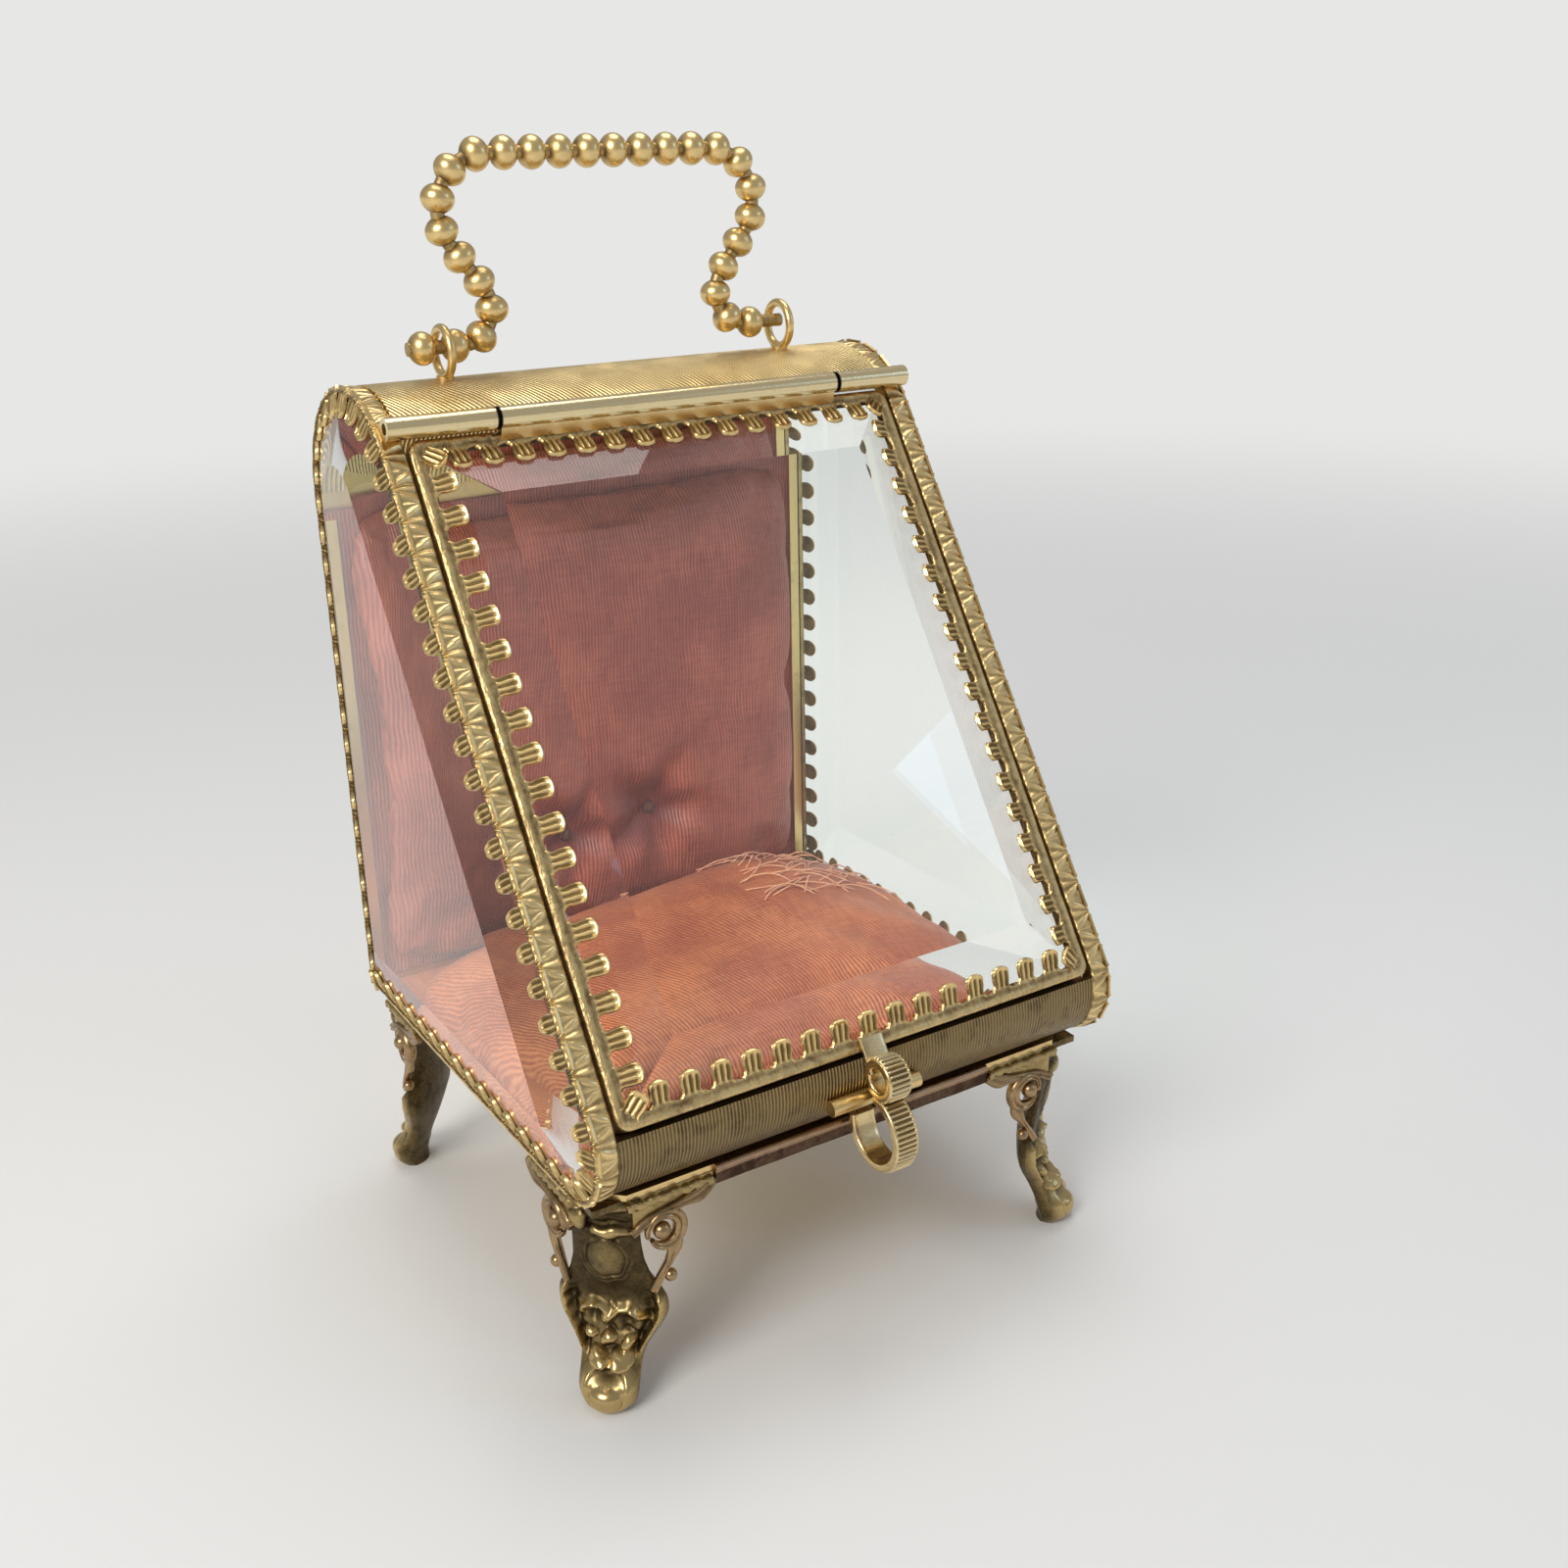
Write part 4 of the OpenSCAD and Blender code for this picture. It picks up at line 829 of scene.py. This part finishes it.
def leg_relief(x, z, e):
    """Height of the carving over the leg's face: a dimpled toe under two lobes, a row of
    three beads, two curled leaves between raised shoulders, a plain throat, an oval boss in
    fine mouldings, and a roll and a leaf at the top."""
    x = x + 0.2 * np.sin(1.9 * z + 0.7 * x) * within(z, 5.8, 14, 1.5)
    z = z + 0.16 * np.sin(2.3 * x + 1.3 * z) * within(z, 5.8, 27, 1.5)
    toe = np.hypot(x / 2.9, (z - 3.0) / 2.9)
    high = knob(x, z, 0, 3.0, 3.7, 3.9, 0.9) + 0.35 * np.exp(-((toe - 0.97) / 0.13) ** 2)
    for lump in ((0, 2.1, 2.1, 1.65, 0.8), (-1.35, 6.5, 1.45, 1.0, 1.0), (1.7, 6.4, 1.5, 1.15, 1.05),
                 (-2.5, 9.0, 0.95, 0.75, 0.85), (-0.25, 8.7, 0.95, 0.8, 0.9), (2.1, 8.2, 0.9, 0.85, 0.8),
                 (0.3, 12.9, 0.6, 0.5, 0.4), (-2.2, 12.2, 0.8, 0.9, 0.5), (3.0, 11.9, 0.8, 1.1, 0.55),
                 (-0.7, 10.7, 0.55, 0.9, 0.5), (-3.0, 25.4, 1.3, 1.7, 0.8), (0.9, 24.2, 2.9, 0.8, 0.95)):
        high = high + knob(x, z, *lump)
    for cx, cz, r in ((-2.0, 11.6, 1.35), (2.0, 11.1, 1.6)):
        far = np.hypot((x - cx) * (0.85 + 0.12 * (z - cz)), z - cz)
        open_below = 0.5 + 0.5 * np.tanh((z - cz + 0.35) / 0.6)
        high = high + 0.85 * np.exp(-((far - r) / 0.5) ** 2) * open_below \
            - 0.6 * np.exp(-((x - cx) / 0.9) ** 2 - ((z - cz + 0.5) / 0.7) ** 2)
    for dent in ((0.1, 4.75, 1.85, 0.8, -1.35), (0.1, 7.4, 1.7, 0.3, -0.4), (0, 9.9, 0.7, 0.7, -0.6),
                 (2.2, 9.6, 1.0, 0.35, -0.5), (0, 14.8, 3.6, 1.3, -0.35), (-1.7, 24.4, 0.5, 0.9, -0.5),
                 (0.8, 22.95, 2.6, 0.3, -0.4), (0.8, 25.4, 2.4, 0.3, -0.35)):
        high = high + hill(x, z, *dent)
    side = np.abs(e)
    shoulder = 0.85 * np.exp(-((side - 0.89) / 0.07) ** 2) - 0.55 * np.exp(-((side - 0.7) / 0.09) ** 2)
    veins = 0.13 * np.cos(z * 4.4 + side * 11) * within(side, 0.55, 0.85, 0.1)
    high = high + within(z, 6.8, 14.4, 1.2) * (shoulder + veins)
    boss = np.hypot(x / 2.3, (z - 19.9) / 2.7)
    high = high + 0.4 * np.sqrt(np.clip(1 - boss ** 2, 0, 1)) + 0.2 * np.exp(-((boss - 1.12) / 0.06) ** 2) \
        + 0.14 * np.exp(-((boss - 1.36) / 0.06) ** 2) * (z < 20)
    return high + 0.5 * np.exp(-((z - 27.5) / 0.55) ** 2) - 0.3 * np.exp(-((z - 26.6) / 0.3) ** 2)


def leg_rings():
    """The leg as rings up its height: an outer face in relief and a plain inner face."""
    h = np.linspace(0, 1, 230)[:, None]
    e = np.concatenate([np.linspace(-1, 1, 95), np.linspace(0.9, -0.9, 10)])[None, :]
    outer = np.concatenate([np.ones(95), np.zeros(10)])[None, :]
    w = smooth_through(h, leg_h, leg_w)
    d = smooth_through(h, back_h, back_d, 29)
    thick = np.interp(h, [0, 0.1, 0.25, 1], [2.6, 3.3, 2.6, 2.3])
    x, z = e * w, h * FOOT_H
    relief = leg_relief(x, z, e) * (1 - np.clip((np.abs(e) - 0.95) / 0.05, 0, 1) ** 2)
    edge = 0.9 * e ** 2 + 0.3 * np.clip((np.abs(e) - 0.92) / 0.08, 0, 1) ** 2
    q = np.where(outer > 0, d + edge - relief, d + thick + 0.4 - e ** 2)
    half = math.sqrt(0.5)
    # The outer face is duller over its upper half and in the low parts of its carving: partly patina
    # in the hollows, partly painted shade that makes the toe's hollow read as a dark crescent.
    shade = smooth_through(h, [0, 0.45, 0.52, 1], [0.66, 0.7, 0.95, 1.0])
    hollow = np.where(outer > 0, np.clip(shade - 0.8 * relief, 0, 1), 0.9)
    return np.stack(np.broadcast_arrays(half * (q + x), half * (q - x), z), -1), hollow


def ribbon(path, across, deep, fold):
    """A rounded bar along a path in the wing's plane (a, z). across is its half width and deep
    its half depth, which may vary along it, and fold sinks a crease along its front."""
    run = np.gradient(path, axis=0)
    run /= np.linalg.norm(run, axis=1)[:, None]
    side = np.stack([-run[:, 1], run[:, 0]], -1)
    a = np.linspace(0, 2 * math.pi, 24, endpoint=False)
    flat = path[:, None] + side[:, None] * (across[:, None] * np.cos(a))[..., None]
    crease = fold * np.exp(-(np.cos(a) / 0.28) ** 2) * (np.sin(a) < 0)
    depth = 0.72 + deep[:, None] * np.sin(a) * (1 - crease)
    return np.stack([flat[..., 0], depth, flat[..., 1]], -1)


def wing_rings():
    """Pieces of one wing in its own plane: a thin web, the roll along its top, the leafy band
    below, the curled scroll with its ball, the stem back to the leg, and a bead."""
    a = np.linspace(6.1, 16.9, 60)
    low = smooth_through((a - 6.1) / 10.8, [0, .05, .12, .2, .35, .6, .8, .93, 1],
                         np.array([.83, .845, .86, .875, .885, .9, .91, .94, .96]) * FOOT_H)
    b = np.linspace(0, 2 * math.pi, 16, endpoint=False)
    face = squared(np.cos(b), 0.4)
    rise = 0.5 + 0.5 * squared(np.sin(b), 0.5)
    z = low[:, None] + 0.2 + (FOOT_H - 0.1 - low)[:, None] * rise
    web = np.stack(np.broadcast_arrays(a[:, None], 1.05 + 0.3 * face[None, :], z), -1)
    grow = np.linspace(0, 1, 60)
    path = np.stack([5.3 + 11.3 * grow, FOOT_H - 0.78 + 0.08 * np.sin(grow * 25)], -1)
    roll = ribbon(path, 0.62 + 0.09 * np.sin(grow * 47), 0.7 + 0.12 * np.sin(grow * 47), 0.25)
    path = np.stack([a - 0.3 * (grow < 0.02), low + 0.35], -1)
    band = ribbon(path, 0.58 + 0.5 * np.exp(-((grow - 0.82) / 0.17) ** 2) - 0.35 * (grow > 0.97),
                  0.55 + 0.25 * np.exp(-((grow - 0.8) / 0.25) ** 2), 0.45)
    c = np.array([9.9, FOOT_H * 0.81])
    t = np.radians(np.linspace(190, -150, 80))
    along = np.linspace(0, 1, 80)
    radius = 2.0 + 0.45 * np.sin(math.pi * along) - 0.3 * along
    path = c + radius[:, None] * np.stack([np.cos(t), np.sin(t)], -1)
    curl = ribbon(path, 0.3 + 0.62 * np.sin(math.pi * along ** 1.2) ** 1.1,
                  0.45 + 0.45 * np.sin(math.pi * along), 0.5)
    path = np.stack([np.interp(grow, [0, .25, .5, .75, 1], [12.0, 11.3, 10.4, 9.4, 8.3]),
                     np.interp(grow, [0, .25, .5, .75, 1], [c[1] - 1.0, 20.2, 18.6, 17.1, 15.2])], -1)
    stem = ribbon(path, 0.3 + 0.62 * np.exp(-((grow - 0.2) / 0.2) ** 2) + 0.25 * grow,
                  0.45 + 0.2 * np.sin(math.pi * grow), 0.4)
    pieces = [web, roll, band, curl, stem]
    b = np.linspace(0, 2 * math.pi, 22, endpoint=False)
    for centre, size in (((9.6, c[1] + 0.3), 1.1), ((10.5, 16.8), 0.8)):
        w = np.linspace(0.08, math.pi - 0.08, 12)
        pieces.append(np.stack(np.broadcast_arrays(centre[0] + size * np.cos(w)[:, None],
                                                   0.5 + size * np.sin(w)[:, None] * np.cos(b),
                                                   centre[1] + size * np.sin(w)[:, None] * np.sin(b)), -1))
    return pieces


def foot(name, sx, sy):
    """One foot: its pieces made at a corner at the origin, then turned out to its corner."""
    corner = np.array([sx * FOOT_X, FOOT_Y[0] if sy < 0 else FOOT_Y[1], 0])
    flip = np.array([-sx, -sy, 1.0])
    rings, hollow = leg_rings()
    leg = skin(name + "_leg", corner + rings * flip, hollow=hollow)
    dress(leg, dark_gilt, "gilt_dark", "casket", name)
    for k, p in enumerate(wing_rings()):
        for m, q in enumerate((p, p[..., [1, 0, 2]])):
            wing = skin(f"{name}_wing_{k}_{m}", corner + q * flip, sharp=60, hollow=0.4 if k < 3 else 0.25)
            dress(wing, scroll_gilt if k > 1 else dark_gilt, "gilt_dark", "casket")
    plate = np.array([[1.3, 1.3], [14, 1.3], [1.3, 14]])
    lower, upper = np.insert(plate, 2, FOOT_H - 0.9, 1), np.insert(plate, 2, FOOT_H - 0.02, 1)
    gusset = skin(name + "_gusset", corner + np.stack([lower, upper]) * flip, hollow=0.8)
    dress(gusset, dark_gilt, "gilt_dark", "casket")


dark_gilt = gilding("gilt_cast", (0.56, 0.41, 0.18), (0.05, 0.034, 0.016), tarnish=0.15, polish=0.2)
scroll_gilt = gilding("gilt_scroll", (0.46, 0.31, 0.16), (0.05, 0.03, 0.018), tarnish=0.25, polish=0.2)
for name, sx, sy in (("foot_front_left", -1, -1), ("foot_front_right", 1, -1),
                     ("foot_back_left", -1, 1), ("foot_back_right", 1, 1)):
    foot(name, sx, sy)

# ---- Cushions ----
# Silk drawn over wadding: a domed pad on the base card and a flatter one against the back,
# which a knot of thread draws in near its foot.
PRESSURE, SHRINK, SWELL_FRAMES = 4, -0.03, 20
SILK_CORD, BACK_PAD, PAD_GAP, CARD, BASE_CARD = 0.5, 7.6, 0.8, 1.2, 0.8


def pad_form(name, hx, hy, thick, crown_share, fall):
    """A closed pad in its own frame, lying on z = 0: rings of rounded oblongs, out along a
    flat underside, round a soft edge and in over a dome."""
    grow = np.linspace(0, 1, 40)
    side = np.where(grow < 0.25, grow / 0.25, 1.0)
    over = np.clip((grow - 0.25) / 0.75, 0, 1)
    scale = np.where(grow < 0.25, 0.03 + 0.93 * side, np.cos(over * math.pi / 2) ** fall)
    scale = np.clip(scale, 0.03, 1)
    high = np.where(grow < 0.25, 0.0, thick * np.sin(over * math.pi / 2) ** crown_share)
    a = np.linspace(0, 2 * math.pi, 150, endpoint=False)
    cx, cy = squared(np.cos(a), 0.15), squared(np.sin(a), 0.15)
    pull = 1 - 0.025 * (1 - np.abs(cx) ** 3) - 0.025 * (1 - np.abs(cy) ** 3)
    rings = np.stack(np.broadcast_arrays(hx * scale[:, None] * cx * pull, hy * scale[:, None] * cy * pull,
                                         high[:, None] + 0 * cx), -1)
    return skin(name, rings, sharp=180)


def places_of(piece):
    """The piece's points as rows, in metres."""
    flat = np.empty(len(piece.data.vertices) * 3)
    piece.data.vertices.foreach_get("co", flat)
    return flat.reshape(-1, 3)


def stuffed(pad, voxel, cap):
    """Points of a pad remeshed evenly and swollen as cloth under pressure, in metres. Each
    point's move is scaled down to cap where it is longer."""
    remesh = pad.modifiers.new("even", "REMESH")
    remesh.mode, remesh.voxel_size = "VOXEL", voxel
    bpy.context.view_layer.objects.active = pad
    bpy.ops.object.modifier_apply(modifier="even")
    before = places_of(pad)
    low = before[:, 2] < 0.0004
    held = pad.vertex_groups.new(name="held")
    held.add(np.flatnonzero(low).tolist(), 1.0, "REPLACE")
    cloth = pad.modifiers.new("cloth", "CLOTH")
    cloth.settings.vertex_group_mass = "held"
    cloth.settings.use_pressure = True
    cloth.settings.uniform_pressure_force = PRESSURE
    cloth.settings.effector_weights.gravity = 0
    cloth.settings.shrink_min = SHRINK
    for step_frame in range(1, SWELL_FRAMES + 1):
        bpy.context.scene.frame_set(step_frame)
    bpy.ops.object.modifier_apply(modifier="cloth")
    move = places_of(pad) - before
    far = np.linalg.norm(move, axis=1)[:, None]
    before = before + move * np.minimum(1, cap / np.maximum(far, 1e-9))
    bpy.context.scene.frame_set(1)
    return before


def settled(pad, places, turned_over=False):
    """Puts a pad's points in place, in metres, turns its faces out again where it has been
    turned over, and eases them."""
    pad.data.vertices.foreach_set("co", places.ravel())
    if turned_over:
        face_out(pad.data)
    pad.data.shade_smooth()
    easing = pad.modifiers.new("ease", "SUBSURF")
    easing.levels = easing.render_levels = 1


def silk(name, low, high, ribs, across, along, tie=None):
    """Ribbed silk: a cosine for the cords of weft, clouds drawn out both ways for the slubs,
    and broad faded clouds. ribs is the direction across the cords, and the folds drawn in to a
    tie are darkened as painted shade."""
    made, place, surface = new_finish(name, Sheen_Weight=0.06, Sheen_Roughness=0.35)
    over = place.axis(0) * ribs[0] + place.axis(1) * ribs[1] + place.axis(2) * ribs[2]
    cord = ((over + place.noise(0.12, 2) * 1.6) * (2 * math.pi / SILK_CORD)).cosine()
    cord = cord * (0.25 + place.noise(0.2, 2) * 0.8)
    threads = place.noise(1.1, 3, across) * 0.5 + place.noise(1.1, 3, along) * 0.5
    fade = place.noise(0.07, 3).between(0.35, 0.68)
    shade = threads * 0.9 + fade * 0.35 + cord * 0.32 - 0.2
    if tie:
        # Painted shade: darker towards the tie, in the folds drawn in to it.
        away = place.node("ShaderNodeVectorMath", {"operation": "DISTANCE"}, {0: place, 1: tie}, 1)
        shade = shade - 0.75 * (1 - (away * 1000.0).between(1.0, 7.5))
    feed(surface, {"Base Color": shade.between(0.0, 1.0).mixed(low, high),
                   "Roughness": 0.5 - threads * 0.2 - cord * 0.04,
                   "Normal": (threads + cord * 0.7).bump(0.08)})
    return made


# The base pad, creased near its front right and raised to a bulge right of its middle.
CARD_FACE = BACK - SHEET - CARD
base_y0, base_y1 = lip[0] + 6, CARD_FACE - BACK_PAD - PAD_GAP
base_half = (base_y1 - base_y0) / 2
base_pad = pad_form("base_pad", 33.0, base_half - 0.4, 10.0, 0.9, 0.72)
p = stuffed(base_pad, 0.0011, 0.0016)
creased = np.exp(-((np.hypot(p[:, 0] - 0.02, p[:, 1] + 0.012)) / 0.012) ** 2)
crease = 0.00035 * np.sin((p[:, 0] * 0.6 + p[:, 1]) * 420) * creased
bulge = 0.0034 * np.exp(-((p[:, 0] - 0.009) / 0.016) ** 2 - ((p[:, 1] - 0.006) / 0.013) ** 2)
p[:, 2] += np.where(p[:, 2] > 0.003, crease + bulge, 0)
p[:, 2] = np.clip(p[:, 2], 0, 0.0142)
p[:, 0] = np.clip(p[:, 0], -0.0336, 0.0336)
p[:, 1] = np.clip(p[:, 1], -base_half * 0.001, base_half * 0.001)
p += np.array([0, (base_y0 + base_y1) / 2, LIFT + BASE_CARD]) * 0.001
settled(base_pad, p)
coral = silk("coral_silk", (0.36, 0.062, 0.022), (0.84, 0.28, 0.11), (0.93, 0.36, 0), (0.25, 2.2, 1),
             (2.0, 0.25, 1))
dress(base_pad, coral, "silk", "casket", "base_cushion")

# The back pad, drawn in to its tuft with folds like a star, and one slanting fold above.
low, high = LIFT + 1.7, crown[1] - 3.2
tuft = np.array([4.5, 19.0 + LIFT])
back_pad = pad_form("back_pad", 31.9, (high - low) / 2 - 0.3, 6.6, 0.75, 0.5)
p = stuffed(back_pad, 0.0012, 0.0012)
mid = (low + high) / 2
dx, dz = p[:, 0] * 1000 - tuft[0], p[:, 1] * 1000 + mid - tuft[1]
far = np.hypot(dx, dz)
star = np.arctan2(dz, dx)
front = p[:, 2] > 0.0015
dip = 3.9 * np.exp(-far ** 2 / 30) + 0.8 * np.cos(star * 5 + 0.6) * np.exp(-((far - 6) / 4.5) ** 2)
fold = 0.45 * np.exp(-((dx * 0.55 - dz * 0.83 + 4.5) / 1.3) ** 2) * np.exp(-((far - 17) / 9) ** 2)
p[:, 2] -= np.where(front, (dip + fold) * 0.001, 0) * np.clip(p[:, 2] / 0.004, 0, 1)
p[:, 2] = np.clip(p[:, 2], 0, BACK_PAD * 0.001)
upright_pad = np.stack([p[:, 0], CARD_FACE * 0.001 - p[:, 2], p[:, 1] + mid * 0.001], -1)
settled(back_pad, upright_pad, turned_over=True)
rose = silk("rose_silk", (0.26, 0.042, 0.028), (0.62, 0.17, 0.105), (1, 0, 0), (0.25, 1, 2.2), (2.0, 1, 0.25),
            (0.001 * tuft[0], 0.001 * (CARD_FACE - 3), 0.001 * tuft[1]))
dress(back_pad, rose, "silk", "casket", "back_cushion")

# ---- Cards and thread ----
# Pasteboard covered with the same silk under both pads, the knot that holds the tuft, and
# the loose ends where the base pad's silk has split.
refinish("back_card", rose)
refinish("base_card", coral)
thread, place, surface = new_finish("tuft_thread", Roughness=0.9)
feed(surface, {"Base Color": place.noise(4.0, 3).mixed((0.06, 0.015, 0.012), (0.20, 0.06, 0.04)),
               "Normal": place.noise(6.0, 2).bump(0.1)})
w = np.linspace(0.1, math.pi - 0.1, 14)[:, None]
a = np.linspace(0, 2 * math.pi, 28, endpoint=False)[None, :]
twist = 1 + 0.08 * np.sin(a * 6 + w * 5)
KNOT_R, KNOT_DEEP = 0.95, 0.9
knot_y = 1000 * (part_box("back_tuft")[0][1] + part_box("back_tuft")[1][1]) / 2
knot = np.stack(np.broadcast_arrays(tuft[0] + KNOT_R * twist * np.sin(w) * np.cos(a),
                                    knot_y + KNOT_DEEP * np.cos(w),
                                    tuft[1] + KNOT_R * twist * np.sin(w) * np.sin(a)), -1)
dress(skin("tuft_knot", knot), thread, "thread", "casket", "back_tuft")

# Each loose end is a bent line over the base pad, laid on its nearest points, eased, arched
# by chance and given a thin round section.
LOOSE_ENDS, END_R = 46, 0.11
chance = np.random.default_rng(11)
r = np.linspace(0, 1, 14)[None, :]
x0, y0 = chance.uniform(8, 27, (LOOSE_ENDS, 1)), chance.uniform(4, 26, (LOOSE_ENDS, 1))
way, reach, bend = (chance.uniform(*span, (LOOSE_ENDS, 1))
                    for span in ((-0.5, 0.9), (4, 11), (-0.9, 0.9)))
x = np.clip(x0 + reach * (r - 0.5) * np.cos(way + bend * r), -32, 32)
y = np.clip(y0 + reach * (r - 0.5) * np.sin(way + bend * r), base_y0 + 1, base_y1 - 1)
top = places_of(base_pad) * 1000
top = top[top[:, 2] > LIFT + 4]
far = (x[..., None] - top[:, 0]) ** 2 + (y[..., None] - top[:, 1]) ** 2
z = top[np.argmin(far, -1), 2]
for _ in range(3):
    z[:, 1:-1] = (z[:, :-2] + 2 * z[:, 1:-1] + z[:, 2:]) / 4
z = z + 0.2 + 1.1 * np.sin(math.pi * r) * chance.uniform(0, 1, (LOOSE_ENDS, 1))
strand = np.stack([x, y, z], -1)
a = np.linspace(0, 2 * math.pi, 5, endpoint=False)
run = np.gradient(strand, axis=1)
run /= np.linalg.norm(run, axis=2)[..., None]
side = np.cross(run, np.array([0, 0, 1.0]))
over = np.cross(side, run)
tube = strand[:, :, None] + END_R * (np.cos(a)[:, None] * side[:, :, None]
                                     + np.sin(a)[:, None] * over[:, :, None])
loose, place, surface = new_finish("loose_silk", Roughness=0.45, Sheen_Weight=0.1)
feed(surface, {"Base Color": place.noise(0.5, 2).mixed((0.80, 0.26, 0.14), (1.0, 0.62, 0.38))})
dress(skin("loose_ends", tube, sharp=180), loose, "silk", "casket")
